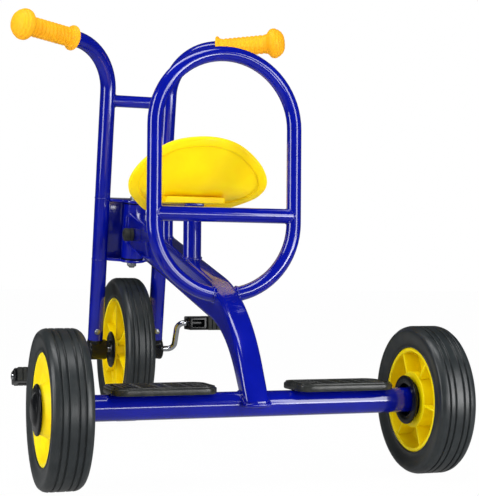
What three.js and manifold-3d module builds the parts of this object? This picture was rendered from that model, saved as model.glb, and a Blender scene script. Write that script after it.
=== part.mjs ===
// Two-rider tricycle: one saddle for the rider and a standing place behind it.
// Millimetres, +Z up. The tricycle faces -Y, and +X is the rider's left.
// While it is built, Y is counted from the rear axle and Z from the ground.
// The finished group is shifted along Y so that its origin is the middle of the footprint.
import * as THREE from 'three';
import { mergeVertices } from 'three/addons/utils/BufferGeometryUtils.js';
import Module from 'manifold-3d';

const wasm = await Module();
wasm.setup();

// Driving dimensions: wheels and stance
const rearWheelRadius = 114;
const frontWheelRadius = 150;
const tyreWidth = 58;
const tyreGrooveDepth = 2.4;
const tyreGrooveWidth = 3;
const rearTyreDepth = 34;
const frontTyreDepth = 42;
const trackWidth = 574;
const wheelBase = 787;

// Fits and working sizes
const seatGap = 0.3;
const runningGap = 0.35;
const facingGap = 0.5;
const overrun = 30;
const weldTolerance = 0.0005;
const wallThickness = 2;

// Main tube: a pressed box section, deep at the head and slim at the foot
const mainTubeWidth = 38;
const mainTubeEdgeRadius = 8;
const mainTubeTopInset = 15.2;
const mainTubeUnderInset = 27.9;
const mainTubeTopFootSlope = THREE.MathUtils.degToRad(59.5);
const mainTubeUnderFootSlope = THREE.MathUtils.degToRad(53.5);
const mainTubeTopCorner = { y: -59, z: 275 };
const mainTubeUnderCorner = { y: -70, z: 216 };
const mainTubeTopBend = 280;
const mainTubeUnderBend = 200;

// Steering head, fork and handlebar
const rakeAngle = THREE.MathUtils.degToRad(10.5);
const headClearance = 97;
const forkOffset = 19;
const headTubeRadius = 23;
const headTubeBore = 20;
const headTubeLength = 112;
const bushFlange = 2;
const bushDepth = 14;
const kingpinRadius = 6;
const yokePlate = 5;
const yokeFrontReach = 31;
const yokeRearReach = 27;
const legSpacing = 64;
const legRadius = 15.7;
const legBendRadius = 100;
const handlebarHeight = 760;
const gripSweep = THREE.MathUtils.degToRad(26);
const gripRise = THREE.MathUtils.degToRad(9);
const gripStart = 94;
const gripLength = 139;
const gripBodyRadius = 19;
const gripCollarRadius = 25;
const gripKnobRadius = 30;
const gripWaves = 3;
const gripWaveDepth = 1.1;
const forkCrossbarDrop = 102;
const forkCrossbarRadius = 12;

// Front wheel, crank and pedals
const frontRimHalf = 24.4;
const frontHubHalf = 28;
const hubRadius = 20;
const hubFlangeRadius = 37.5;
const frontFlangeThickness = 6;
const crankRadius = 6;
const crankThrow = 62;
const crankTilt = THREE.MathUtils.degToRad(27);
const crankArmPlace = 107;
const crankBend = 14;
const blockRadius = 21.5;
const blockInner = 41;
const blockOuter = 79;
const plugLength = 52;
const rivetHeight = 41;
const rivetRadius = 3;
const pedalInner = 127;
const pedalLength = 102;
const pedalThickness = 28;
const pedalCore = 44;
const pedalTread = 8;
const pedalLeftTilt = THREE.MathUtils.degToRad(16);

// Rear axle and rear wheels
const axleTubeRadius = 19;
const axleTubeBore = 16;
const axleRadius = 6;
const rearRimHalf = 24;
const rearHubInner = 18;
const rearHubOuter = 29.3;
const rearLandRadius = 43;
const rearLandHalf = 23;
const rearBossRadius = 33;
const cupFloor = 3;
const cupWall = 4;
const cupRoom = 6;
const cupStand = 7.2;
const hubCapRadius = 36.5;
const hubCapHeight = 9.7;
const ribCount = 6;
const ribThickness = 3.6;
const rearRibTilt = THREE.MathUtils.degToRad(22);

// Passenger hoop
const hoopPlace = -128;
const hoopRadius = 117;
const hoopTubeRadius = 11.9;
const hoopTopCentre = 541;
const hoopLowCentre = 390;
const hoopCrossbarHeight = 401;

// Saddle and what carries it
const postPlace = -307;
const postRadius = 15.6;
const strutPlace = -470;
const strutRadius = 11.5;
const railRearPlace = -289;
const railLength = 194;
const railWidth = 34;
const railThickness = 5;
const railDrop = 14.5;
const railTilt = THREE.MathUtils.degToRad(2.4);
const saddleNosePlace = -488;
const saddleLength = 266;
const saddleHalfWidth = 121;
const saddleRimDrop = 18;
const saddleRise = 111;
const saddlePanPlace = -350;
const saddleHeadRise = 46;
const saddleThickness = 5;
const saddleSkirt = 15;
const saddleSkirtFlare = 3;
const saddlePadWidth = 106;
const saddlePadLength = 116;
const saddlePadInset = 3;

// Standing plates over the rear axle tube
const footInner = 62;
const footLength = 156;
const footDepth = 88;
const footCorner = 22;
const footRubber = 11.8;
const footSteel = 3;
const footSteelInset = 7;
const footEdge = 2;

// Rubber steering stops on the sides of the main tube
const stopSetback = 72;
const stopRadius = 13;
const stopLength = 19;

// Side counts of the faceted round shapes
const tyreSides = 24;
const rimSides = 20;
const tubeSides = 12;
const hubSides = 14;
const gripSides = 14;
const smallSides = 10;

// Colours and surfaces
const paints = {
  blue: { color: 0x0a0aa6, roughness: 0.22, metalness: 0.1 },
  yellow: { color: 0xffd400, roughness: 0.42, metalness: 0 },
  grip: { color: 0xfcb80c, roughness: 0.6, metalness: 0 },
  tyre: { color: 0x2e3234, roughness: 0.85, metalness: 0 },
  black: { color: 0x141516, roughness: 0.5, metalness: 0 },
  rubber: { color: 0x2b2d2b, roughness: 0.8, metalness: 0 },
  chrome: { color: 0xc9ccd0, roughness: 0.14, metalness: 1 },
  zinc: { color: 0x9da1a6, roughness: 0.38, metalness: 1 },
};

// Helpers for solids

function circleOutset(sides) {
  return 1 / Math.cos(Math.PI / sides);
}

function signedVolume(geometry) {
  const place = geometry.getAttribute('position');
  const index = geometry.index.array;
  const a = new THREE.Vector3();
  const b = new THREE.Vector3();
  const c = new THREE.Vector3();
  let sum = 0;
  for (let i = 0; i < index.length; i += 3) {
    a.fromBufferAttribute(place, index[i]);
    b.fromBufferAttribute(place, index[i + 1]);
    c.fromBufferAttribute(place, index[i + 2]);
    sum += a.dot(b.cross(c));
  }
  return sum;
}

// Keeps only positions, welds shared vertices and turns the faces outwards.
function welded(geometry) {
  const bare = new THREE.BufferGeometry();
  bare.setAttribute('position', geometry.getAttribute('position').clone());
  if (geometry.index) {
    bare.setIndex(geometry.index.clone());
  }
  const whole = mergeVertices(bare, weldTolerance);
  if (signedVolume(whole) < 0) {
    whole.index.array.reverse();
  }
  return whole;
}

function toSolid(geometry) {
  const whole = welded(geometry);
  return new wasm.Manifold(new wasm.Mesh({
    numProp: 3,
    vertProperties: new Float32Array(whole.getAttribute('position').array),
    triVerts: new Uint32Array(whole.index.array),
  }));
}

function toGeometry(solid) {
  const mesh = solid.getMesh();
  const geometry = new THREE.BufferGeometry();
  geometry.setAttribute('position', new THREE.BufferAttribute(mesh.vertProperties, 3));
  geometry.setIndex(new THREE.BufferAttribute(mesh.triVerts, 1));
  return geometry;
}

function cut(geometry, ...tools) {
  const whole = tools.reduce((solid, tool) => solid.subtract(toSolid(tool)), toSolid(geometry));
  return toGeometry(whole);
}

function join(geometry, ...others) {
  const whole = others.reduce((solid, other) => solid.add(toSolid(other)), toSolid(geometry));
  return toGeometry(whole);
}

// A turned shape about X. The profile is a list of [radius, place along X].
function turned(profile, sides) {
  const points = profile.map(([radius, place]) => new THREE.Vector2(radius, place));
  const onAxis = profile[0][0] === 0 && profile.at(-1)[0] === 0;
  if (!onAxis) {
    points.push(points[0].clone());
  }
  const shape = new THREE.LatheGeometry(points, sides, Math.PI / sides);
  return welded(shape.rotateZ(-Math.PI / 2));
}

// A bar or tool about X, from one place to another.
function barAlongX(radius, from, to, sides = tubeSides) {
  const bar = new THREE.CylinderGeometry(radius, radius, to - from, sides);
  return bar.rotateZ(-Math.PI / 2).translate((from + to) / 2, 0, 0);
}

function barAlongY(radius, from, to, sides = tubeSides) {
  return barAlongX(radius, from, to, sides).rotateZ(Math.PI / 2);
}

function barAlongZ(radius, from, to, sides = tubeSides) {
  return barAlongX(radius, from, to, sides).rotateY(-Math.PI / 2);
}

function boxBetween(low, high) {
  const size = high.map((value, i) => value - low[i]);
  const middle = high.map((value, i) => (value + low[i]) / 2);
  return new THREE.BoxGeometry(...size).translate(...middle);
}

// A path with a station only where the tube needs a ring of points.
class StationPath extends THREE.Curve {
  constructor(stations) {
    super();
    this.stations = stations;
  }

  station(share) {
    return this.stations[Math.round(share * (this.stations.length - 1))];
  }

  getPointAt(share) {
    return this.station(share).point.clone();
  }

  getTangentAt(share) {
    return this.station(share).tangent.clone();
  }
}

// Stations of a path through corners, each rounded by an arc of the given radius.
function roundedStations(corners, radius, stepsPerBend) {
  const stations = [];
  const first = corners[1].clone().sub(corners[0]).normalize();
  stations.push({ point: corners[0].clone(), tangent: first });
  for (let i = 1; i < corners.length - 1; i += 1) {
    const before = corners[i].clone().sub(corners[i - 1]).normalize();
    const after = corners[i + 1].clone().sub(corners[i]).normalize();
    const turn = before.angleTo(after);
    const start = corners[i].clone().addScaledVector(before, -radius * Math.tan(turn / 2));
    const inward = after.clone().addScaledVector(before, -after.dot(before)).normalize();
    for (let step = 0; step <= stepsPerBend; step += 1) {
      const angle = turn * step / stepsPerBend;
      const point = start.clone()
        .addScaledVector(before, radius * Math.sin(angle))
        .addScaledVector(inward, radius * (1 - Math.cos(angle)));
      const tangent = before.clone().multiplyScalar(Math.cos(angle))
        .addScaledVector(inward, Math.sin(angle));
      stations.push({ point, tangent });
    }
  }
  const last = corners.at(-1).clone().sub(corners.at(-2)).normalize();
  stations.push({ point: corners.at(-1).clone(), tangent: last });
  return stations;
}

function circlePoints(radius, sides) {
  return Array.from({ length: sides }, (unused, i) => {
    const angle = 2 * Math.PI * i / sides;
    return new THREE.Vector2(radius * Math.cos(angle), radius * Math.sin(angle));
  });
}

// A round tube along stations, hollow where a bore radius is given.
function tubeAlong(stations, radius, bore = 0, sides = tubeSides) {
  const section = new THREE.Shape(circlePoints(radius, sides));
  if (bore > 0) {
    section.holes.push(new THREE.Path(circlePoints(bore, sides)));
  }
  const options = { steps: stations.length - 1, extrudePath: new StationPath(stations) };
  return welded(new THREE.ExtrudeGeometry(section, options));
}

const trike = new THREE.Group();
trike.position.y = (wheelBase + frontWheelRadius - rearWheelRadius) / 2;

function addPiece(group, name, paint, geometry) {
  const mesh = new THREE.Mesh(geometry, new THREE.MeshStandardMaterial(paints[paint]));
  mesh.name = name;
  group.add(mesh);
  return mesh;
}

// Both sides of the tricycle: the rider's left is +X
const flanks = [{ side: 'left', sign: 1 }, { side: 'right', sign: -1 }];

function mirrored(geometry, sign) {
  return sign > 0 ? welded(geometry) : welded(geometry.clone().scale(-1, 1, 1));
}

const rearRimRadius = rearWheelRadius - rearTyreDepth;
const frontRimRadius = frontWheelRadius - frontTyreDepth;

// The axle tube and its bushes fill the space between the rear wheels' hubs.
const axleTubeHalf = trackWidth / 2 - rearHubInner - seatGap - cupFloor - facingGap - bushFlange
  - seatGap;

// Frame: main tube

// The steering axis leans back by the rake and passes behind the front axle.
const headHeight = 2 * frontWheelRadius + headClearance;
const axleDrop = (headHeight - frontWheelRadius + forkOffset * Math.sin(rakeAngle))
  / Math.cos(rakeAngle);
const headPlace = new THREE.Vector3(
  0,
  -wheelBase + forkOffset * Math.cos(rakeAngle) + axleDrop * Math.sin(rakeAngle),
  headHeight,
);

// Slopes of the main tube's top and underside, from its bend up to the head
const mainTubeTopSlope = Math.atan2(
  headHeight + headTubeLength / 2 - mainTubeTopInset - mainTubeTopCorner.z,
  mainTubeTopCorner.y - headPlace.y,
);
const mainTubeUnderSlope = Math.atan2(
  headHeight - headTubeLength / 2 + mainTubeUnderInset - mainTubeUnderCorner.z,
  mainTubeUnderCorner.y - headPlace.y,
);

const bendSteps = 5;
const edgeSteps = 2;

// One edge of the side outline: a straight run from the head, one bend and a straight foot.
function edgeRun(corner, slope, footSlope, bend, outward) {
  const before = new THREE.Vector3(0, Math.cos(slope), -Math.sin(slope));
  const after = new THREE.Vector3(0, Math.cos(footSlope), -Math.sin(footSlope));
  const middle = new THREE.Vector3(0, corner.y, corner.z);
  const normal = new THREE.Vector3(0, Math.sin(slope), Math.cos(slope));
  const footNormal = new THREE.Vector3(0, Math.sin(footSlope), Math.cos(footSlope));
  const bisector = normal.clone().add(footNormal).normalize();
  middle.addScaledVector(bisector, outward / bisector.dot(normal));
  const headReach = (headPlace.y - middle.y) / before.y;
  const footReach = (middle.z - rearWheelRadius) / -after.z;
  const start = middle.clone().addScaledVector(before, headReach);
  const end = middle.clone().addScaledVector(after, footReach);
  return roundedStations([start, middle, end], bend, bendSteps).map(({ point }) => point);
}

// Outline of the main tube in Y and Z, grown outwards by the given amount.
function mainTubeOutline(grown) {
  const top = edgeRun(mainTubeTopCorner, mainTubeTopSlope, mainTubeTopFootSlope,
    mainTubeTopBend + grown, grown);
  const under = edgeRun(mainTubeUnderCorner, mainTubeUnderSlope, mainTubeUnderFootSlope,
    mainTubeUnderBend - grown, -grown);
  return [...top, ...under.reverse()].map((point) => new THREE.Vector2(point.y, point.z));
}

// The outline as a slab across X, with rounded long edges where a radius is given.
function mainTubeSlab(grown, width, edge) {
  const shape = new THREE.Shape(mainTubeOutline(grown - edge));
  const options = { depth: width - 2 * edge, bevelEnabled: edge > 0, bevelThickness: edge,
    bevelSize: edge, bevelSegments: edgeSteps };
  const slab = new THREE.ExtrudeGeometry(shape, options).translate(0, 0, edge - width / 2);
  return slab.rotateX(Math.PI / 2).rotateZ(Math.PI / 2);
}

// Frame pieces on the steering axis, and the whole fork, stand in this leaning group.
function leaningGroup() {
  const group = new THREE.Group();
  group.position.copy(headPlace);
  group.rotation.x = -rakeAngle;
  group.updateMatrix();
  trike.add(group);
  return group;
}
const headGroup = leaningGroup();
const fork = leaningGroup();

function mainTube() {
  const outer = mainTubeSlab(0, mainTubeWidth, mainTubeEdgeRadius);
  const inner = mainTubeSlab(-wallThickness, mainTubeWidth - 2 * wallThickness,
    mainTubeEdgeRadius - wallThickness);
  const core = toSolid(outer).subtract(toSolid(inner));
  const headTool = barAlongZ(headTubeRadius + seatGap, -headTubeLength, headTubeLength, 2 * tubeSides)
    .applyMatrix4(headGroup.matrix);
  const axleRoom = (axleTubeRadius + seatGap) * circleOutset(2 * tubeSides);
  const axleTool = barAlongX(axleRoom, -axleTubeHalf, axleTubeHalf, 2 * tubeSides)
    .translate(0, 0, rearWheelRadius);
  const headEnd = boxBetween(
    [-mainTubeWidth, headPlace.y - wheelBase, 0],
    [mainTubeWidth, headPlace.y, 2 * headHeight],
  );
  const footEnd = boxBetween(
    [-mainTubeWidth, -wheelBase, -rearWheelRadius],
    [mainTubeWidth, wheelBase, rearWheelRadius + axleTubeRadius / 2],
  );
  const whole = [headTool, axleTool, headEnd, footEnd]
    .reduce((solid, tool) => solid.subtract(toSolid(tool)), core);
  return toGeometry(whole);
}
addPiece(trike, 'main_tube', 'blue', mainTube());

// Frame: steering head

function headBush() {
  const bore = (kingpinRadius + runningGap) * circleOutset(hubSides);
  const sleeve = headTubeBore - seatGap;
  const face = headTubeLength / 2 + seatGap;
  return turned([
    [bore, face - bushDepth],
    [sleeve, face - bushDepth],
    [sleeve, face],
    [headTubeRadius, face],
    [headTubeRadius, face + bushFlange],
    [bore, face + bushFlange],
  ], hubSides).rotateY(-Math.PI / 2);
}

addPiece(headGroup, 'head_tube', 'blue', turned([
  [headTubeBore * circleOutset(2 * tubeSides), -headTubeLength / 2],
  [headTubeRadius, -headTubeLength / 2],
  [headTubeRadius, headTubeLength / 2],
  [headTubeBore * circleOutset(2 * tubeSides), headTubeLength / 2],
], 2 * tubeSides).rotateY(-Math.PI / 2));
addPiece(headGroup, 'head_bush_upper', 'black', headBush());
addPiece(headGroup, 'head_bush_lower', 'black', headBush()).rotation.x = Math.PI;

// Frame: rubber steering stops

function steeringStop() {
  const boltDip = stopRadius / 3;
  const edge = stopRadius / 6;
  return turned([
    [0, 0],
    [stopRadius, 0],
    [stopRadius, stopLength - edge],
    [stopRadius - edge, stopLength],
    [boltDip, stopLength],
    [boltDip, stopLength - boltDip],
    [0, stopLength - boltDip],
  ], smallSides);
}

// Middle height of the main tube's side at a place along Y ahead of the bends
function mainTubeMiddle(place) {
  const top = mainTubeTopCorner.z + (mainTubeTopCorner.y - place) * Math.tan(mainTubeTopSlope);
  const under = mainTubeUnderCorner.z + (mainTubeUnderCorner.y - place) * Math.tan(mainTubeUnderSlope);
  return (top + under) / 2;
}

const stopPlace = headPlace.y + stopSetback;
for (const { side, sign } of flanks) {
  const stop = mirrored(steeringStop().translate(mainTubeWidth / 2 + seatGap, 0, 0), sign);
  addPiece(trike, `steering_stop_${side}`, 'rubber', stop)
    .position.set(0, stopPlace, mainTubeMiddle(stopPlace));
}

// Frame: rear axle tube, its bushes, the axle and the nuts

const axleGroup = new THREE.Group();
axleGroup.position.z = rearWheelRadius;
trike.add(axleGroup);

const axleBore = (axleRadius + runningGap) * circleOutset(smallSides);
const wheelPlane = trackWidth / 2;
const nutThickness = 6;
const nutRadius = 9;
const nutStart = wheelPlane + rearHubOuter + facingGap;
const axleHalf = nutStart + nutThickness + axleRadius / 6;

addPiece(axleGroup, 'rear_axle_tube', 'blue', turned([
  [axleTubeBore * circleOutset(2 * tubeSides), -axleTubeHalf],
  [axleTubeRadius, -axleTubeHalf],
  [axleTubeRadius, axleTubeHalf],
  [axleTubeBore * circleOutset(2 * tubeSides), axleTubeHalf],
], 2 * tubeSides));
addPiece(axleGroup, 'rear_axle', 'zinc', barAlongX(axleRadius, -axleHalf, axleHalf));

function axleBush() {
  const face = axleTubeHalf + seatGap;
  return turned([
    [axleBore, face - bushDepth],
    [axleTubeBore - seatGap, face - bushDepth],
    [axleTubeBore - seatGap, face],
    [axleTubeRadius, face],
    [axleTubeRadius, face + bushFlange],
    [axleBore, face + bushFlange],
  ], hubSides);
}

function axleNut() {
  return turned([
    [axleBore, nutStart],
    [nutRadius, nutStart],
    [nutRadius, nutStart + nutThickness],
    [axleBore, nutStart + nutThickness],
  ], smallSides);
}

for (const { side, sign } of flanks) {
  addPiece(axleGroup, `axle_bush_${side}`, 'black', mirrored(axleBush(), sign));
  addPiece(axleGroup, `axle_nut_${side}`, 'zinc', mirrored(axleNut(), sign));
}

// Frame: the passenger's hoop, which ends on both sides of the main tube

const hoopSteps = 8;

function hoopStations() {
  const stations = [];
  const clearTurn = Math.asin(hoopTubeRadius / hoopRadius) / 2;
  const addArc = (centre, from, to) => {
    for (let step = 0; step <= hoopSteps; step += 1) {
      const angle = from + (to - from) * step / hoopSteps;
      stations.push({
        point: new THREE.Vector3(hoopRadius * Math.cos(angle), hoopPlace,
          centre + hoopRadius * Math.sin(angle)),
        tangent: new THREE.Vector3(-Math.sin(angle), 0, Math.cos(angle)),
      });
    }
  };
  addArc(hoopLowCentre, -Math.PI / 2 + clearTurn, 0);
  addArc(hoopTopCentre, 0, Math.PI);
  addArc(hoopLowCentre, Math.PI, Math.PI * 3 / 2 - clearTurn);
  return stations;
}

function passengerHoop() {
  const halfGap = mainTubeWidth / 2 + seatGap;
  const middle = boxBetween(
    [-halfGap, hoopPlace - hoopRadius, 0],
    [halfGap, hoopPlace + hoopRadius, hoopLowCentre],
  );
  return cut(tubeAlong(hoopStations(), hoopTubeRadius, hoopTubeRadius - wallThickness), middle);
}

// Half the hoop's width at a height, from centre line to centre line
function hoopHalfWidth(height) {
  const beyond = Math.max(height - hoopTopCentre, hoopLowCentre - height, 0);
  return Math.sqrt(hoopRadius ** 2 - beyond ** 2);
}

function hoopCrossbar() {
  const reach = hoopHalfWidth(hoopCrossbarHeight);
  const bar = barAlongX(hoopTubeRadius, -reach, reach)
    .translate(0, hoopPlace, hoopCrossbarHeight);
  return cut(bar, tubeAlong(hoopStations(), hoopTubeRadius + seatGap));
}
addPiece(trike, 'passenger_hoop', 'blue', passengerHoop());
addPiece(trike, 'hoop_crossbar', 'blue', hoopCrossbar());

// Frame: the post, the strut and the rail that carry the saddle

const saddlePanHeight = headHeight + saddleHeadRise;
const railGroup = new THREE.Group();
railGroup.position.set(0, railRearPlace, saddlePanHeight - railDrop);
railGroup.rotation.x = -railTilt;
railGroup.updateMatrix();
trike.add(railGroup);

const boltRadius = 3;
const boltHeadRadius = 6;
const boltHeadThickness = 4;
const boltReach = 7;
const railBoltPlaces = [postPlace - 2 * postRadius, strutPlace + 5 * strutRadius]
  .map((place) => place - railRearPlace);

function railPart() {
  const rail = boxBetween([-railWidth / 2, -railLength, -railThickness], [railWidth / 2, 0, 0]);
  const holes = railBoltPlaces.map((place) => barAlongZ((boltRadius + seatGap) * circleOutset(smallSides),
    -railThickness - overrun, overrun, smallSides).translate(0, place, 0));
  return cut(rail, ...holes);
}

// A hollow upright from the main tube to the underside of the rail
function upright(place, radius) {
  const bore = radius - wallThickness;
  const tube = cut(
    barAlongZ(radius, 0, saddlePanHeight, tubeSides),
    barAlongZ(bore, -overrun, saddlePanHeight + overrun, tubeSides),
  ).translate(0, place, 0);
  const above = boxBetween(
    [-2 * railWidth, -2 * railLength, -railThickness - seatGap],
    [2 * railWidth, railLength, saddlePanHeight],
  ).applyMatrix4(railGroup.matrix);
  const below = mainTubeSlab(seatGap, mainTubeWidth + 2 * seatGap, 0);
  const underside = boxBetween(
    [-railWidth, place - railWidth, -overrun],
    [railWidth, place + railWidth, mainTubeMiddle(place)],
  );
  return cut(tube, above, below, underside);
}

addPiece(trike, 'seat_post', 'blue', upright(postPlace, postRadius));
addPiece(trike, 'seat_front_strut', 'blue', upright(strutPlace, strutRadius));
addPiece(railGroup, 'seat_rail', 'blue', railPart());

function railBolt() {
  const head = -railThickness - seatGap;
  return turned([
    [0, head - boltHeadThickness],
    [boltHeadRadius, head - boltHeadThickness],
    [boltHeadRadius, head],
    [boltRadius, head],
    [boltRadius, boltReach],
    [0, boltReach],
  ], smallSides).rotateY(-Math.PI / 2);
}
['rear', 'front'].forEach((name, i) => {
  addPiece(railGroup, `seat_bolt_${name}`, 'zinc', railBolt()).position.y = railBoltPlaces[i];
});

// Saddle

// The rim seen from above and from the side, from the back round one flank to the nose:
// shares of the half width, of the length from the nose, and of the rise over the lowest rim
const saddleRimShares = [
  [0, 1, 1], [0.438, 0.947, 0.937], [0.702, 0.91, 0.784], [0.909, 0.868, 0.577],
  [1, 0.816, 0.387], [0.959, 0.737, 0.243], [0.851, 0.639, 0.153], [0.727, 0.526, 0.081],
  [0.603, 0.414, 0.027], [0.471, 0.301, 0.01], [0.347, 0.18, 0.08], [0.215, 0.068, 0.16],
  [0, 0, 0.22],
];
const saddleRingShares = [0.2, 0.42, 0.62, 0.78, 0.9, 1];
const saddleSpokes = 28;
const saddleDishPower = 4.2;

function saddleRim() {
  const half = saddleRimShares.map(([across, along, up]) => new THREE.Vector3(
    across * saddleHalfWidth,
    saddleNosePlace + along * saddleLength,
    saddlePanHeight - saddleRimDrop + up * saddleRise,
  ));
  const back = half.slice(1, -1).reverse().map((point) => point.clone().setX(-point.x));
  return new THREE.CatmullRomCurve3([...half, ...back], true);
}

function saddleSurface(rimPoint, share) {
  const point = new THREE.Vector3(0, saddlePanPlace, saddlePanHeight).lerp(rimPoint, share);
  point.z = saddlePanHeight + (rimPoint.z - saddlePanHeight) * share ** saddleDishPower;
  return point;
}

// Rings of points from the middle of the top, over the rim and the skirt, to the middle below
function saddleRings() {
  const rim = saddleRim();
  const rimPoints = Array.from({ length: saddleSpokes }, (unused, i) => rim.getPointAt(i / saddleSpokes));
  const topRings = saddleRingShares.map((share) => rimPoints.map((point) => saddleSurface(point, share)));
  const underRings = topRings.map((ring, r) => ring.map((point, i) => {
    const inner = r > 0 ? topRings[r - 1][i] : new THREE.Vector3(0, saddlePanPlace, saddlePanHeight);
    const outward = point.clone().sub(inner).normalize();
    const next = ring[(i + 1) % saddleSpokes];
    const last = ring[(i + saddleSpokes - 1) % saddleSpokes];
    const along = next.clone().sub(last).normalize();
    const normal = outward.cross(along).normalize();
    const down = normal.z > 0 ? -saddleThickness : saddleThickness;
    return point.clone().addScaledVector(normal, down);
  }));
  const outwardFrom = (point) => new THREE.Vector3(point.x, point.y - saddlePanPlace, 0).normalize();
  const skirtOuter = rimPoints.map((point) => point.clone()
    .addScaledVector(outwardFrom(point), saddleSkirtFlare)
    .add(new THREE.Vector3(0, 0, -saddleSkirt)));
  const skirtInner = rimPoints.map((point) => point.clone()
    .addScaledVector(outwardFrom(point), saddleSkirtFlare - saddleThickness)
    .add(new THREE.Vector3(0, 0, -saddleSkirt)));
  return [...topRings, skirtOuter, skirtInner, ...underRings.reverse().slice(1)];
}

function closedRings(rings, firstPole, lastPole) {
  const count = rings[0].length;
  const points = [firstPole, ...rings.flat(), lastPole];
  const faces = [];
  const at = (ring, i) => 1 + ring * count + (i % count);
  for (let i = 0; i < count; i += 1) {
    faces.push(0, at(0, i), at(0, i + 1));
    for (let ring = 0; ring < rings.length - 1; ring += 1) {
      faces.push(at(ring, i), at(ring + 1, i), at(ring + 1, i + 1));
      faces.push(at(ring, i), at(ring + 1, i + 1), at(ring, i + 1));
    }
    faces.push(points.length - 1, at(rings.length - 1, i + 1), at(rings.length - 1, i));
  }
  const geometry = new THREE.BufferGeometry().setFromPoints(points);
  geometry.setIndex(faces);
  return welded(geometry);
}

// The room above the middle of the shell's thickness, for the pad to end in
function saddleMould() {
  const rings = saddleRings().slice(0, saddleRingShares.length)
    .map((ring) => ring.map((point) => point.clone().setZ(point.z - saddleThickness / 2)));
  const lid = rings.at(-1).map((point) => point.clone().setZ(saddlePanHeight + 2 * saddleRise));
  const middle = new THREE.Vector3(0, saddlePanPlace, saddlePanHeight - saddleThickness / 2);
  return closedRings([...rings, lid], middle, middle.clone().setZ(saddlePanHeight + 2 * saddleRise));
}

function saddle() {
  const top = new THREE.Vector3(0, saddlePanPlace, saddlePanHeight);
  const below = top.clone().setZ(saddlePanHeight - saddleThickness);
  const shell = closedRings(saddleRings(), top, below);
  const pad = cut(boxBetween(
    [-saddlePadWidth / 2, -saddlePadLength, seatGap],
    [saddlePadWidth / 2, saddlePadInset, saddleRise],
  ).applyMatrix4(railGroup.matrix), saddleMould());
  const holes = railBoltPlaces.map((place) => barAlongZ((boltRadius + seatGap) * circleOutset(smallSides),
    -overrun, boltReach + facingGap, smallSides).translate(0, place, 0).applyMatrix4(railGroup.matrix));
  const railRoom = boxBetween(
    [-railWidth / 2 - seatGap, -railLength - seatGap, -saddleSkirt],
    [railWidth / 2 + seatGap, overrun, seatGap],
  ).applyMatrix4(railGroup.matrix);
  return cut(join(shell, pad), railRoom, ...holes);
}
addPiece(trike, 'seat_shell', 'yellow', saddle());

// Standing plates: a steel plate on the axle tube, sunk in the underside of a rubber tread

function roundedPlate(length, depth, corner, thickness, edge) {
  const shape = new THREE.Shape();
  const halfX = length / 2 - edge;
  const halfY = depth / 2 - edge;
  const bend = corner - edge;
  shape.moveTo(-halfX + bend, -halfY);
  shape.absarc(halfX - bend, -halfY + bend, bend, -Math.PI / 2, 0);
  shape.absarc(halfX - bend, halfY - bend, bend, 0, Math.PI / 2);
  shape.absarc(-halfX + bend, halfY - bend, bend, Math.PI / 2, Math.PI);
  shape.absarc(-halfX + bend, -halfY + bend, bend, Math.PI, Math.PI * 3 / 2);
  const options = { depth: thickness - 2 * edge, bevelEnabled: edge > 0, bevelThickness: edge,
    bevelSize: edge, bevelSegments: 1, curveSegments: 3 };
  return new THREE.ExtrudeGeometry(shape, options).translate(0, 0, edge);
}

// A plate as large as the sunk steel plate, grown all round by the given amount
function sunkPlate(grown, thickness) {
  return roundedPlate(footLength - 2 * footSteelInset + 2 * grown, footDepth - 2 * footSteelInset + 2 * grown,
    footCorner - footSteelInset + grown, thickness, 0);
}

function footTread() {
  const rubber = roundedPlate(footLength, footDepth, footCorner, footRubber, footEdge);
  const room = sunkPlate(seatGap, overrun).translate(0, 0, footSteel + seatGap - overrun);
  return cut(rubber, room);
}

const footHeight = rearWheelRadius + axleTubeRadius + seatGap;
const footMiddle = footInner + footLength / 2;
for (const { side, sign } of flanks) {
  addPiece(trike, `footplate_bracket_${side}`, 'blue', welded(sunkPlate(0, footSteel)))
    .position.set(sign * footMiddle, 0, footHeight);
  addPiece(trike, `footplate_${side}`, 'rubber', footTread())
    .position.set(sign * footMiddle, 0, footHeight);
}

// Fork: everything from here to the rear wheels stands in the leaning group

const axleSpot = new THREE.Vector3(0, -forkOffset, -axleDrop);
const legTop = (handlebarHeight - headHeight - forkOffset * Math.sin(rakeAngle)) / Math.cos(rakeAngle);
const gripDirection = new THREE.Vector3(
  Math.cos(gripSweep) * Math.cos(gripRise),
  Math.sin(gripSweep) * Math.cos(gripRise),
  Math.sin(gripRise),
);
const legBendSteps = 6;
const gripWall = gripKnobRadius - gripBodyRadius;
const gripTubeEnd = gripLength - 2 * gripWall;
const legStart = -axleDrop + blockRadius + seatGap;
const gripCorner = new THREE.Vector3(legSpacing, -forkOffset, legTop);

function rivetTool(radius, spread) {
  return barAlongY(radius, -forkOffset - legRadius - spread, -forkOffset + legRadius + spread, smallSides)
    .translate(legSpacing, 0, -axleDrop + rivetHeight);
}

function forkLeg() {
  const corners = [
    new THREE.Vector3(legSpacing, -forkOffset, legStart),
    gripCorner,
    gripCorner.clone().addScaledVector(gripDirection, gripStart + gripTubeEnd),
  ];
  const stations = roundedStations(corners, legBendRadius, legBendSteps);
  const hole = rivetTool((rivetRadius + seatGap) * circleOutset(smallSides), overrun);
  return cut(tubeAlong(stations, legRadius, legRadius - wallThickness), hole);
}

// The knob's outline: shares of the knob's radius, and of its length from the body to the end
const gripKnobShares = [[1, 0.23], [1, 0.57], [0.87, 0.77], [0.5, 0.95], [0, 1]];

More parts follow.
